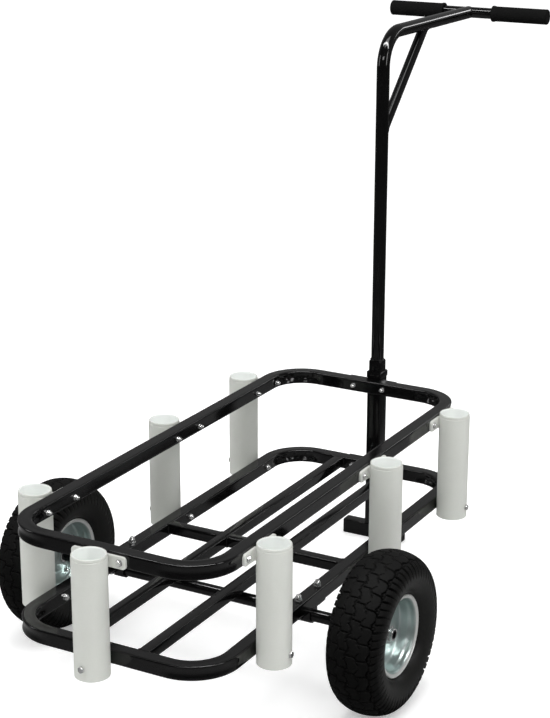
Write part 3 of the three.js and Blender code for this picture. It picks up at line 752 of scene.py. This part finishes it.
rail("top_ring", "top_rail")
rail("bottom_ring", "bottom_rail")


def bar_between(node, name, axis, side, up, edge=BAR_EDGE, softness=0.0):
    """A square or flat bar that fills its node's box."""
    _, _, middle, size = measured(node)
    section = rounded_box(2 * abs(size / 2 @ side), 2 * abs(size / 2 @ up), edge, 4)
    reach = abs(size / 2 @ axis) * axis
    coated(name, [straight(middle - reach, middle + reach, section, side, up, softness)], [node])


for side_name in ("left", "right"):
    bar_between(f"deck_bar_{side_name}", f"floor_bar_{side_name}", Y, X, Z)
for place in ("left", "middle", "right"):
    bar_between(f"deck_cross_{place}", f"floor_cross_{place}", X, Y, Z)
for level in ("upper", "lower"):
    bar_between(f"column_plate_{level}", f"upright_plate_{level}", Y, X, Z, PLATE_CORNER, PLATE_EDGE)


def floor_welds():
    """Beads where the floor bars meet the lower rail and each other, ground level with their tops."""
    top = measured("deck_bar_left")[1][2] + 0.25 * MM
    outline = rounded_box(BAR, BAR, BAR_EDGE, 3)
    shells = []
    long_bars, cross_bars = ("bar_left", "bar_right"), ("cross_left", "cross_middle", "cross_right")
    for nodes, axis, side in ((long_bars, Y, X), (cross_bars, X, Y)):
        for node in nodes:
            low, high, middle, _ = measured(f"deck_{node}")
            for end in (low, high):
                path = loop_on(outline, np.where(axis, end, middle), side, Z)
                shells.append(bead(path, axis, ceiling=top))
    coated("floor_welds", shells)


floor_welds()


def square_tube(node, name, wall, edge):
    """An open square tube that fills its node's box: outer wall up, over a soft rim, and down inside."""
    low, high, middle, size = measured(node)
    outer = rounded_box(size[0], size[1], edge, 4, 2)
    inner = rounded_box(size[0] - 2 * wall, size[1] - 2 * wall, max(edge - wall, 0.4 * MM), 4, 2)
    soft = 0.3 * wall
    top, eased = high[2], high[2] - soft
    levels = [(outer, low[2]), (outer, eased), (outer * (1 - soft / size[0]), top)]
    levels += [(inner * (1 + soft / size[0]), top), (inner, eased), (inner, low[2])]
    coated(name, [stacked(levels, middle)], [node])


def upright():
    """The upright, its collar, and the welds at its plates and foot."""
    low, high, middle, size = measured("column_tube")
    square_tube("column_tube", "upright_tube", COLUMN_WALL, BAR_EDGE)
    square_tube("column_band", "upright_collar", BAND_WALL, BAND_EDGE)
    seat = (middle[0], middle[1], measured("foot_bar")[1][2] + 0.5 * MM)
    shells = [bead(loop_on(rounded_box(size[0], size[1], BAR_EDGE, 3), seat, X, Y), Z)]
    for node in ("column_plate_upper", "column_plate_lower"):
        plate_low, plate_high, _, _ = measured(node)
        for x in (low[0], high[0]):
            height = np.linspace(plate_low[2] + 2 * MM, plate_high[2] - 2 * MM, 24)
            path = np.stack([np.full(24, x), np.full(24, plate_high[1]), height], -1)
            shells.append(bead(path, Y, PLATE_BEAD, closed=False))
    coated("upright_welds", shells)


upright()


def foot():
    """The cross foot with a moulded plug in each end."""
    bar_low, bar_high, middle, size = measured("foot_bar")
    section = rounded_box(size[1], size[2], BAR_EDGE, 4)

    def at(x):
        return np.array([x, middle[1], middle[2]])

    coated("foot_tube", [straight(at(bar_low[0]), at(bar_high[0]), section, Y, Z)], ["foot_bar"])
    for side_name, outward in SIDES:
        node = f"foot_cap_{side_name}"
        low, high, _, _ = measured(node)
        ends = (bar_low[0], low[0]) if outward[0] < 0 else (bar_high[0], high[0])
        plug = straight(at(ends[0]), at(ends[1]), section, Y, Z, PLUG_EDGE)
        piece(f"foot_plug_{side_name}", [plug], "frame", "black_plastic", [node])


foot()


def plate_bolts():
    """Two bolts hold each plate to its rail: nuts show inside the rail, heads behind the plate."""
    shells = []
    for node, rail_node in (("column_plate_upper", "top_ring"), ("column_plate_lower", "bottom_ring")):
        _, high, middle, _ = measured(node)
        inner_face = measured(rail_node)[1][1] - TUBE
        for x in (-PLATE_BOLT, PLATE_BOLT):
            shells += nut(np.array([x, inner_face, middle[2]]), -Y)
            shells += bolt_head(np.array([x, high[1], middle[2]]), Y)
    plated("upright_bolts", shells)


plate_bolts()

# Rod holders


def holder_frames():
    """Each holder's number, its middle in plan, the way it faces and the way along its rail."""
    for number in range(1, HOLDERS + 1):
        low, high, middle, size = measured(f"rod_holder_{number}")
        if size[0] > size[1]:
            facing = -Y
            centre = np.array([middle[0], low[1] + HOLDER_RADIUS, low[2]])
        else:
            facing = X if low[0] > 0 else -X
            edge = high[0] - HOLDER_RADIUS if low[0] > 0 else low[0] + HOLDER_RADIUS
            centre = np.array([edge, middle[1], low[2]])
        yield number, centre, facing, np.cross(Z, facing), size[2]


def holder_tube(centre, height):
    """The open tube: a wall with a fine groove and a drawn-in lip at its top, and eased edges."""
    outer, inner = HOLDER_RADIUS, HOLDER_RADIUS - HOLDER_WALL
    # Each corner's radius, height and softness.
    rows = np.array([
        (inner, 0, 0.4 * MM),
        (outer, 0, 0.8 * MM),
        (outer, height - 6.2 * MM, 0.2 * MM),
        (outer - 1.0 * MM, height - 5.6 * MM, 0.2 * MM),
        (outer - 0.4 * MM, height - 4.6 * MM, 0.4 * MM),
        (outer - 0.7 * MM, height, 1.3 * MM),
        (inner + 0.3 * MM, height, 0.9 * MM),
        (inner, height - 2 * MM, 0.6 * MM),
    ])
    return turned(rows[:, :2], rows[:, 2], 4, centre, Z, 96)


def holder_ear(centre, facing, along, middle):
    """One ear, a flat tab carried outwards along the rail. Its front leaves the tube's wall in a
    fillet, an arc tangent to the wall's circle and to the plate; its end has round corners."""
    front = HOLDER_RADIUS - EAR_PLATE
    arc_depth = front - EAR_FILLET
    arc_place = math.sqrt((HOLDER_RADIUS + EAR_FILLET) ** 2 - arc_depth**2)
    tangent = math.atan2(-arc_depth, -arc_place)
    turn = np.linspace(tangent + TURN, np.pi / 2, 7)
    wall = np.array([(0.42, 0.87), (0.56, 0.78)]) * HOLDER_RADIUS
    fillet = np.stack([arc_place + EAR_FILLET * np.cos(turn), arc_depth + EAR_FILLET * np.sin(turn)], -1)
    round_from = EAR_REACH - EAR_CORNER
    flat = np.linspace(arc_place + 0.5 * MM, round_from, 9)
    end = round_from + EAR_CORNER * np.sin(np.linspace(0, np.pi / 2, 9)[1:])
    outer = np.concatenate([flat, end])
    outline = np.concatenate([wall, fillet, np.stack([outer, np.full(len(outer), front)], -1)])
    behind = np.maximum.accumulate(outline[:, 0])
    past = np.maximum(outline[:, 0] - round_from, 0)
    half = EAR_HEIGHT / 2 - EAR_CORNER + np.sqrt(np.maximum(EAR_CORNER**2 - past**2, 0))
    back = HOLDER_RADIUS - 0.05 * MM
    corner = rounded_box(2, 2, 0.16, 3)
    share = (corner[None, :, 0] + 1) / 2
    depth = outline[:, 1:] + (back - outline[:, 1:]) * share
    place = outline[:, :1] + (behind - outline[:, 0])[:, None] * share
    rise = middle + corner[None, :, 1] * half[:, None]
    return shell(capped(centre - depth[..., None] * facing + place[..., None] * along + rise[..., None] * Z))


def mark_bore(moulding, centre):
    """Marks the points of the moulding that lie on its bore, nearer its axis than the wall's inside. The
    white moulding paints these points paler, with a faint glow, as painted light.
    """
    mesh = moulding.data
    points = np.empty(3 * len(mesh.vertices), np.float32)
    mesh.vertices.foreach_get("co", points)
    from_axis = np.linalg.norm(points.reshape(-1, 3)[:, :2] - centre[:2], axis=1)
    marks = from_axis < HOLDER_RADIUS - HOLDER_WALL + 0.35 * MM
    mesh.attributes.new("bore", "FLOAT", "POINT").data.foreach_set("value", marks.astype(np.float32))


def rest_bolt(number, facing):
    """The long bolt through the holder's foot and the lower rail, head outside and nut inside."""
    node = f"rest_bolt_{number}"
    _, _, middle, size = measured(node)
    reach = abs(size @ facing) / 2
    end = middle - reach * facing
    nut_seat = end + REST_NUT_IN * facing
    shaft = band(0, REST_BOLT_RADIUS, 0, 2 * reach - 6 * MM)
    plated(f"rest_bolt_long_{number}", [
        hex_block(middle + (reach - REST_HEAD_HEIGHT) * facing, facing, REST_BOLT_ACROSS, REST_HEAD_HEIGHT),
        revolved(shaft, end + 1 * MM * facing, facing, 24),
        hex_block(nut_seat, -facing, REST_BOLT_ACROSS, REST_NUT_HEIGHT),
        thread(nut_seat - 4.8 * MM * facing, -facing, REST_BOLT_RADIUS - 0.05 * MM, THREAD_SHOWN),
    ], [node])


def rod_holders():
    """Each holder's tube and ears as one moulding, its two ear bolts and its rest bolt."""
    rail_middle = measured("top_ring")[2][2]
    for number, centre, facing, along, height in holder_frames():
        middle = rail_middle - EAR_DROP - centre[2]
        shells = [holder_tube(centre, height)]
        bolts = []
        for side in (-1, 1):
            shells.append(holder_ear(centre, facing, side * along, middle))
            spot = centre + side * EAR_BOLT * along + middle * Z
            bolts += bolt_head(spot - (HOLDER_RADIUS - EAR_PLATE) * facing, facing)
            bolts += nut(spot - (HOLDER_RADIUS + 0.3 * MM + TUBE) * facing, -facing)
        node = f"rod_holder_{number}"
        mark_bore(piece(f"holder_moulding_{number}", shells, "frame", "white_plastic", [node]), centre)
        plated(f"ear_bolts_{number}", bolts)
        rest_bolt(number, facing)


rod_holders()

# Axle


def axle_bolt(node):
    """A bolt up through strap and rail: hexagonal head below, washer, nut and thread on the rail's top."""
    low, _, middle, _ = measured(node)
    rail_top = measured("bottom_ring")[1][2]
    seat = np.array([middle[0], middle[1], rail_top])
    head = np.array([middle[0], middle[1], low[2] + AXLE_NUT_HEIGHT])
    above = seat + WASHER_HEIGHT * Z
    plated(f"{node}_hex", [
        hex_block(head, -Z, AXLE_NUT_ACROSS, AXLE_NUT_HEIGHT),
        revolved(band(0, AXLE_THREAD, 0, rail_top - low[2] - 4 * MM), head - 1 * MM * Z, Z, 24),
        washer(seat, Z, AXLE_WASHER),
        hex_block(above, Z, AXLE_NUT_ACROSS, AXLE_NUT_HEIGHT),
        thread(above + (AXLE_NUT_HEIGHT - 0.2 * MM) * Z, Z, AXLE_THREAD, 4 * MM),
    ], [node])


def axle():
    """The fixed tube, the rod through it with a recess in each end, the rings, and the straps' bolts."""
    _, _, middle, size = measured("axle_tube")
    outline = band(AXLE_CLEAR, size[2] / 2, -size[0] / 2, size[0] / 2)
    coated("axle_sleeve", [turned(outline, 0.5 * MM, 3, middle, X, 64)], ["axle_tube"])
    _, _, _, size = measured("axle_rod")
    reach, radius, bottom = size[0] / 2, size[2] / 2, size[0] / 2 - AXLE_BORE_DEPTH
    half = [(radius, reach), (AXLE_BORE, reach), (AXLE_BORE, bottom), (0, bottom)]
    outline = [(r, -along) for r, along in reversed(half)] + half
    coated("axle_shaft", [turned(outline, 1 * MM, 4, middle, X, 48, closed=False)], ["axle_rod"])
    for side_name, _ in SIDES:
        for ring in ("spacer", "collar"):
            node = f"axle_{ring}_{side_name}"
            _, _, ring_middle, size = measured(node)
            outline = band(AXLE_CLEAR, size[2] / 2, -size[0] / 2, size[0] / 2)
            plated(f"{node}_turned", [turned(outline, 0.7 * MM, 3, ring_middle, X, 64)], [node])
        for end in ("front", "rear"):
            axle_bolt(f"axle_bolt_{side_name}_{end}")


axle()

# Wheels


def from_whole(turns):
    """How far a count is from its nearest whole number, from 0 to a half."""
    return np.abs(turns - np.round(turns))


def from_half(turns):
    """How far a count is from the middle between two whole numbers, from 0 to a half."""
    return np.abs(turns - np.floor(turns) - 0.5)


def triangle_wave(turns):
    """From -1 to 1 and back once a turn, in straight lines."""
    return 4 * from_whole(turns) - 1


def groove(distance, floor_end, top):
    """1 in a groove, 0 beside it, and a smooth wall between two distances from its line."""
    return 1 - smooth_step(distance, floor_end, top)


def tread_height(angle, across):
    """1 on top of a block and 0 in a groove. Two rows of wide blocks lie side by side, turned half a
    pitch from each other. The line between them zigzags with fine teeth. Each block is parted by a
    shallow ragged slit, and the line that crosses the row steps there. The shoulders are lugs, with
    a gap and a shallower line once a pitch, that run out down the sidewall."""
    pitch_length = TURN * TREAD_RADIUS / TREAD_PITCHES
    pitch = angle * TREAD_PITCHES / TURN
    teeth = TOOTH * triangle_wave(TEETH * pitch + 0.3)
    sway = ZIGZAG * np.clip(ZIGZAG_STEEPNESS * triangle_wave(pitch), -1, 1) + teeth
    lane = (across - sway) / TREAD_ROW
    from_slit = (lane - np.floor(lane) - 0.5) * TREAD_ROW
    step = STEP * np.tanh(from_slit / STEP_WIDTH) + 0.05 * from_slit
    step = step + 0.5 * TOOTH * triangle_wave(across / (7 * MM))
    block = pitch + 0.5 * np.mod(np.floor(lane), 2) + step / pitch_length
    from_line = np.minimum(from_whole(lane) * TREAD_ROW, from_whole(block) * pitch_length)
    ragged = groove(np.abs(from_slit + 0.6 * teeth), 0.5 * MM, 1.3 * MM)
    slit = smooth_step(from_half(block), 0.08, 0.14) * ragged
    blocks = smooth_step(from_line, TREAD_GROOVE, TREAD_GROOVE + TREAD_WALL) * (1 - SLIT_DEPTH * slit)
    lug = pitch + LUG_SHIFT + LUG_SLANT * (np.abs(across) - SHOULDER_START) / pitch_length
    run_out = smooth_step(np.abs(across), SHOULDER_END - 16 * MM, SHOULDER_END)
    gap = groove(from_whole(lug) * pitch_length, (1.3 + 0.7 * run_out) * MM, (2.5 + 1.8 * run_out) * MM)
    lugs = (1 - gap) * (1 - SLIT_DEPTH * groove(from_half(lug) * pitch_length, 0.8 * MM, 1.9 * MM))
    past_shoulder = np.abs(across) - SHOULDER_START - 0.5 * sway
    edge = 1 - EDGE_DEPTH * groove(np.abs(past_shoulder), 0.4 * MM, 1.4 * MM)
    return np.where(past_shoulder > 0, lugs, blocks) * edge


def tyre_profile(half_width, crown):
    """The outer section from one bead over the crown to the other, as (radius, along)."""
    up = crown - BEAD_SEAT
    side = [(BEAD_SEAT + rise * MM, BEAD_WIDTH - inset * MM) for rise, inset in BEAD_ROWS]
    side += [(BEAD_SEAT + rise * up, width * half_width) for rise, width in SIDEWALL]
    return side + [(crown, 0)] + [(radius, -along) for radius, along in reversed(side)]


def tyre(side_name, centre):
    """The tyre: its section is a smooth curve, cut by the tread pattern along its normal. The rows of
    its grid lie close together under the tread and wide apart on the sidewalls. Past the shoulder
    the lugs stand on the sidewall, so what lies between them sinks less and less."""
    node = f"tyre_{side_name}"
    _, high, _, size = measured(node)
    curve = smooth_curve(tyre_profile(size[0] / 2, high[2] - centre[2]), 600)
    along = gone_along(curve)
    reach = along[-1] / 2
    tread = np.linspace(-SHOULDER_END, SHOULDER_END, 112)
    plain = np.linspace(SHOULDER_END, reach, 14)[1:]
    across = np.concatenate([-plain[::-1], tread, plain])
    profile = at_lengths(curve, along, across + reach)
    slope = unit(np.gradient(profile, across, axis=0))
    normal = np.stack([slope[:, 1], -slope[:, 0]], -1)
    normal = normal * np.sign(normal[len(normal) // 2, 0])
    angles = np.linspace(0, TURN, TREAD_PITCHES * TREAD_COLUMNS, endpoint=False)
    depth = TREAD_DEPTH * (0.5 + 0.45 * smooth_step(np.abs(across), 24 * MM, 44 * MM))
    depth = depth * smooth_step(SHOULDER_END - np.abs(across), -1 * MM, 26 * MM)
    sunk = (1 - tread_height(angles[None, :], across[:, None])) * depth[:, None]
    skin = profile[:, None] - sunk[..., None] * normal[:, None]
    inside = np.array(TYRE_INSIDE)[:, None] * MM * np.ones((len(angles), 1))
    radius, place = np.moveaxis(np.concatenate([skin, inside]), -1, 0)
    points = np.stack([place, radius * np.cos(angles), radius * np.sin(angles)], -1) + centre
    shells = [shell(points, wrap_rows=True)]
    piece(f"tyre_tread_{side_name}", shells, f"wheel_{side_name}", "tyre_rubber", [node], 40)


def rim(node, name, body, centre, outward):
    """One pressed half of a rim. From the hub out: a square raised boss with soft ridges, the flat
    web, the drop, the bead seat and the rolled flange. The square is a power mean of x and y."""
    sides = 192
    angles = np.linspace(0, TURN, sides, endpoint=False)
    across, up = np.abs(np.cos(angles)), np.abs(np.sin(angles))
    square = (across**RIM_SQUARENESS + up**RIM_SQUARENESS) ** (-1 / RIM_SQUARENESS)
    rows = np.array(RIM_ROWS) * (MM, MM, 1)
    radius = rows[:, :1] * (1 + rows[:, 2:] * (square - 1))
    dense = np.stack([softened(np.stack([r, rows[:, 1]], -1), RIM_CORNER) for r in radius.T], axis=1)
    slope = unit(np.gradient(dense, axis=0))
    normal = np.stack([-slope[..., 1], slope[..., 0]], -1)
    both = np.concatenate([dense + 0.5 * SHEET * normal, (dense - 0.5 * SHEET * normal)[::-1]])
    lift = 0.5 * SHEET + 0.15 * MM
    spokes = spokes_about(outward, angles + RIM_TURN)
    points = centre + both[..., :1] * spokes + (both[..., 1:] + lift) * outward
    piece(name, [shell(points, wrap_rows=True)], body, "zinc_plate", [node], 40)


def bush(node, body, outward):
    _, _, centre, size = measured(node)
    neck = -BUSH_FLANGE_DEPTH
    corners = [(AXLE_CLEAR, -size[0]), (BUSH_RADIUS, -size[0]), (BUSH_RADIUS, neck), (BUSH_FLANGE, neck),
               (BUSH_FLANGE, 0), (AXLE_CLEAR, 0)]
    face = centre + outward * size[0] / 2
    plated(f"{node}_turned", [turned(corners, 0.4 * MM, 3, face, outward, 48)], [node], body)


def valve(node, name, body, outward):
    """The valve's stem with a narrower cap."""
    _, _, middle, size = measured(node)
    length = size[0]
    corners = [(0, 0), (VALVE_RADIUS, 0), (VALVE_RADIUS, 0.4 * length), (VALVE_CAP, 0.5 * length),
               (VALVE_CAP, 0.95 * length), (VALVE_TIP, length), (0, length)]
    stem = turned(corners, 0.6 * MM, 3, middle - outward * length / 2, outward, 32, closed=False)
    piece(name, [stem], body, "black_plastic", [node])


def wheel(side_name, outward):
    body, node = f"wheel_{side_name}", f"hub_{side_name}"
    _, _, centre, size = measured(node)
    tyre(side_name, centre)
    rim(f"rim_outer_{side_name}", f"rim_face_{side_name}", body, centre, outward)
    rim(f"rim_inner_{side_name}", f"rim_back_{side_name}", body, centre, -outward)
    outline = band(HUB_BORE, HUB_RADIUS, -size[0] / 2, size[0] / 2)
    hub = turned(outline, 0.5 * MM, 3, centre, outward, 64)
    piece(f"hub_sleeve_{side_name}", [hub], body, "zinc_plate", [node])
    bush(f"bush_outer_{side_name}", body, outward)
    bush(f"bush_inner_{side_name}", body, -outward)
    valve(f"valve_stem_{side_name}", f"valve_{side_name}", body, outward)
    shells = []
    for spoke in spokes_about(outward, RIM_TURN + np.arange(4) * np.pi / 2):
        spot, lift = centre + RIM_BOLT_CIRCLE * spoke, RIM_BOLT_SEAT * outward
        shells += bolt_head(spot + lift, outward, 8 * MM, 3 * MM, 5.4 * MM)
        shells += nut(spot - lift, -outward, 8 * MM, 3.6 * MM, 2.4 * MM, 5.4 * MM)
    plated(f"rim_bolts_{side_name}", shells, body=body)


for side_name, outward in SIDES:
    wheel(side_name, outward)

# Handle


def handle_tube(bar, start):
    """Round tube carried up, round a quarter circle and out level, a little flattened in the bend.
    Its far end is notched over the cross bar: each point moves back to where it meets the bar."""
    top = measured("handle_tube")[1][2] - HANDLE_RADIUS
    rise = np.linspace(start[2], top - HANDLE_BEND, 10)
    angle = np.linspace(0, np.pi / 2, 40)[1:-1]
    corner = start[1] + HANDLE_BEND
    run = np.linspace(corner, bar[1] - BAR_RADIUS, 10)
    slope = np.concatenate([np.zeros(10), angle, np.full(10, np.pi / 2)])
    depths = np.concatenate([np.full(10, start[1]), corner - HANDLE_BEND * np.cos(angle), run])
    heights = np.concatenate([rise, top - HANDLE_BEND + HANDLE_BEND * np.sin(angle), np.full(10, top)])
    zeros = np.zeros_like(slope)
    centres = np.stack([zeros, depths, heights], -1)
    outwards = np.stack([zeros, -np.cos(slope), np.sin(slope)], -1)
    flat = 1 - HANDLE_FLATTENING * np.sin(2 * slope)[:, None, None]
    section = circle(HANDLE_RADIUS, 64)[None] * np.concatenate([np.ones_like(flat), flat], -1)
    points = swept(centres, np.broadcast_to(X, centres.shape), outwards, section)
    back = np.sqrt(np.maximum((BAR_RADIUS - HANDLE_NOTCH) ** 2 - (points[-1, :, 2] - bar[2]) ** 2, 0))
    points[-1, :, 1] = bar[1] - back
    return shell(capped(points))


def meeting(start, along, across, post, post_axis):
    """Where the stay meets the handle's tube: for each angle round the stay, the distance along it at
    which its surface is the tube's radius from the tube's axis, from a quadratic."""
    angles = np.linspace(0, TURN, 96, endpoint=False)[:, None]
    base = start + BRACE_RADIUS * (np.cos(angles) * X + np.sin(angles) * across) - post
    square = base - (base @ post_axis)[:, None] * post_axis
    slant = along - (along @ post_axis) * post_axis
    a, b = slant @ slant, 2 * square @ slant
    c = (square**2).sum(-1) - HANDLE_RADIUS**2
    reach = (-b - np.sqrt(np.maximum(b**2 - 4 * a * c, 0))) / (2 * a)
    return post + base + reach[:, None] * along


def grip(side_name, outward):
    """A ribbed sleeve: its radius rises and falls with the angle, GRIP_RIBS times a turn, between a
    raised lip and a rounded end with a ring in it."""
    node = f"grip_{side_name}"
    _, _, centre, size = measured(node)
    length, lip, hollow = size[0], GRIP_RADIUS + GRIP_LIP, size[0] - 0.8 * MM
    corners = [
        (BAR_RADIUS + 0.2 * MM, 0), (lip, 0), (lip, 4.5 * MM), (GRIP_RADIUS, 6 * MM),
        (GRIP_RADIUS, length - 5 * MM), (GRIP_RADIUS + 0.3 * MM, length - 4 * MM),
        (GRIP_RADIUS - 0.4 * MM, length - 1.5 * MM), (GRIP_RADIUS - 3.5 * MM, length),
        (GRIP_RADIUS - 5 * MM, length), (GRIP_RADIUS - 5.6 * MM, hollow), (0, hollow),
    ]
    profile = softened(corners, 0.8 * MM, 4)
    rows = np.concatenate([
        profile[profile[:, 1] < 5.9 * MM][:-1],
        np.stack([np.full(40, GRIP_RADIUS), np.linspace(6 * MM, length - 5 * MM, 40)], -1),
        profile[profile[:, 1] > length - 4.9 * MM],
    ])

    def ribbed(radius, angle, place):
        ends = smooth_step(-place, -(length - 5.5 * MM), -(length - 8 * MM))
        zone = smooth_step(place, 6.5 * MM, 9 * MM) * ends
        wave = np.abs(np.sin(GRIP_RIBS / 2 * angle)) ** 0.8
        return radius - zone * GRIP_RIB * (1 - wave)

    sleeve = revolved(rows, centre - outward * length / 2, outward, 5 * GRIP_RIBS, shape=ribbed)
    piece(f"grip_sleeve_{side_name}", [sleeve], "handle", "grip_foam", [node], 50)


def handle():
    """The sleeve, the bent tube, the stay across the bend, the cross bar and the grips."""
    _, _, bar, bar_size = measured("handle_t_bar")
    low, high, column, size = measured("handle_insert")
    side, seat = size[0], low[2] + SLEEVE_DEPTH
    levels = [
        (0.84, low[2]), (1, low[2]), (1, high[2] - SLEEVE_BEVEL),
        (1 - 0.5 * SLEEVE_BEVEL / side, high[2] - 0.3 * SLEEVE_BEVEL), (1 - 2 * SLEEVE_BEVEL / side, high[2]),
        (0.5, high[2]), (0.5, seat), (0.84, seat),
    ]
    outer = rounded_box(side, side, SLEEVE_EDGE, 4, 2)
    sleeve = stacked([(outer * scale, height) for scale, height in levels], column)
    coated("handle_sleeve", [sleeve], ["handle_insert"], "handle")
    start = np.array([column[0], column[1], high[2]])
    coated("handle_bend", [handle_tube(bar, start)], ["handle_tube"], "handle")
    diagonal = unit(np.array([0, 1.0, 1.0]))
    low_end = np.array([0, column[1], bar[2] - BRACE_LEG])
    high_end = np.array([0, column[1] + BRACE_LEG, bar[2]])
    across = np.cross(diagonal, X)
    middle = (low_end + high_end) / 2
    lower = meeting(middle, -diagonal, across, low_end, Z)
    upper = meeting(middle, diagonal, across, high_end, Y)
    stay = np.stack([lower + share * (upper - lower) for share in np.linspace(0, 1, 12)])
    coated("handle_stay", [shell(capped(stay))], ["handle_brace"], "handle")
    seam = loop_on(circle(HANDLE_RADIUS, 64), start + 0.4 * MM * Z, X, Y)
    welds = [bead(path, up, HANDLE_BEAD) for path, up in ((seam, Z), (lower, diagonal), (upper, diagonal))]
    coated("handle_welds", welds, body="handle")
    outline = band(0, BAR_RADIUS, -bar_size[0] / 2, bar_size[0] / 2)
    cross_bar = turned(outline, 1 * MM, 3, bar, X, 64, closed=False)
    coated("handle_cross_bar", [cross_bar], ["handle_t_bar"], "handle")
    for side_name, outward in SIDES:
        grip(side_name, outward)


handle()

# Floor, light and camera

FLOOR_SIZE = 60.0
FLOOR_LIFT = 0.34
POOL_NEAR = 0.7
POOL_FAR = 1.7
WORLD_LOW = 0.22
WORLD_MIDDLE = 0.65
WORLD_HIGH = 1.2
ROOM_FRONT = 0.07
ROOM_BACK = 0.24
# Each light's name, place, aim, width, height, power, and whether it shows in gloss only.
LIGHTS = [
    ("over", (0.2, -0.5, 3.2), (0, -0.1, 0.2), 1.6, 1.2, 26, False),
    ("front", (0.8, -3.4, 2.6), (0, 0, 0.4), 1.8, 0.6, 22, False),
    ("left", (-2.8, -1.6, 1.6), (0, 0, 0.4), 0.6, 1.4, 12, False),
    ("right", (3.0, -0.4, 1.6), (0, 0, 0.4), 0.6, 1.4, 16, False),
    ("over strip", (0.7, -0.7, 3.3), (0.7, -0.5, 0.3), 5.0, 0.3, 130, True),
    ("back strip", (1.2, 3.2, 1.9), (0, 0, 0.4), 3.0, 0.2, 14, True),
]
LENS = 117.24
CAMERA_PLACE = (1.4865, -2.79815, 1.4797)
CAMERA_TURN = (math.radians(72.37), math.radians(-0.11), math.radians(29.0))


def floor():
    """A pale floor. Gloss sees it as a dim pool, and the camera sees it a little lifted."""
    mesh = bpy.data.meshes.new("floor")
    half = FLOOR_SIZE / 2
    corners = [(-half, -half, 0), (half, -half, 0), (half, half, 0), (-half, half, 0)]
    mesh.from_pydata(corners, [], [(0, 1, 2, 3)])
    material, tree, shader = new_material(
        "studio floor", Roughness=0.9, Specular_IOR_Level=0.1, Emission_Strength=1.0,
    )
    shade = ramp(tree, noise(tree, 0.8, 2.0), 0.3, 0.7)
    pale = mixed(tree, shade, (0.93, 0.93, 0.93), (0.95, 0.95, 0.95))
    away = vector_maths(tree, "LENGTH", own_place(tree))["Value"]
    pool = ramp(tree, away, POOL_NEAR, POOL_FAR)
    dim = mixed(tree, pool, (0.26, 0.26, 0.26), (0.07, 0.07, 0.07))
    ray = add(tree, "ShaderNodeLightPath").outputs
    tree.links.new(mixed(tree, ray["Is Glossy Ray"], pale, dim), shader.inputs["Base Color"])
    lift = mixed(tree, ray["Is Camera Ray"], (0, 0, 0), (FLOOR_LIFT,) * 3)
    tree.links.new(lift, shader.inputs["Emission Color"])
    mesh.materials.append(material)
    plane = placed("floor", mesh)


def softbox(name, place, target, width, height, power, gloss_only):
    light = bpy.data.lights.new(name, "AREA")
    light.shape = "RECTANGLE"
    light.size = width
    light.size_y = height
    light.energy = power
    lamp = placed(name, light)
    lamp.location = place
    lamp.visible_diffuse = not gloss_only
    lamp.rotation_euler = (Vector(target) - Vector(place)).to_track_quat("-Z", "Y").to_euler()


def studio():
    """A white sweep in a room that gloss sees as dim, darker in front than behind, and that lights
    what is dull from above. Wide soft lights give shape, and narrow strips only show in gloss."""
    floor()
    world = bpy.data.worlds.new("studio")
    world.use_nodes = True
    tree = world.node_tree
    way = add(tree, "ShaderNodeTexCoord").outputs["Generated"]
    parts = add(tree, "ShaderNodeSeparateXYZ", {"Vector": way}).outputs
    low = ramp(tree, parts["Z"], 0.35, 0.55, WORLD_LOW, WORLD_MIDDLE)
    high = ramp(tree, parts["Z"], 0.6, 0.8, 0.0, WORLD_HIGH - WORLD_MIDDLE)
    lit = maths(tree, "ADD", low, high)
    room = ramp(tree, parts["Y"], -0.5, 0.5, ROOM_FRONT, ROOM_BACK)
    ray = add(tree, "ShaderNodeLightPath").outputs
    seen = chosen(tree, ray["Is Glossy Ray"], lit, room)
    shown = chosen(tree, ray["Is Camera Ray"], seen, 1.0)
    background = tree.nodes["Background"]
    background.inputs["Color"].default_value = (1, 1, 1, 1)
    tree.links.new(shown, background.inputs["Strength"])
    bpy.context.scene.world = world
    bpy.context.scene.view_settings.view_transform = "Standard"
    for light in LIGHTS:
        softbox(*light)


def camera():
    lens = bpy.data.cameras.new("camera")
    lens.sensor_fit = "HORIZONTAL"
    lens.sensor_width = 36
    lens.lens = LENS
    holder = placed("camera", lens)
    holder.location = CAMERA_PLACE
    holder.rotation_euler = Euler(CAMERA_TURN)
    bpy.context.scene.camera = holder


studio()
camera()


def plain(box):
    return [[float(value) for value in corner] for corner in box]
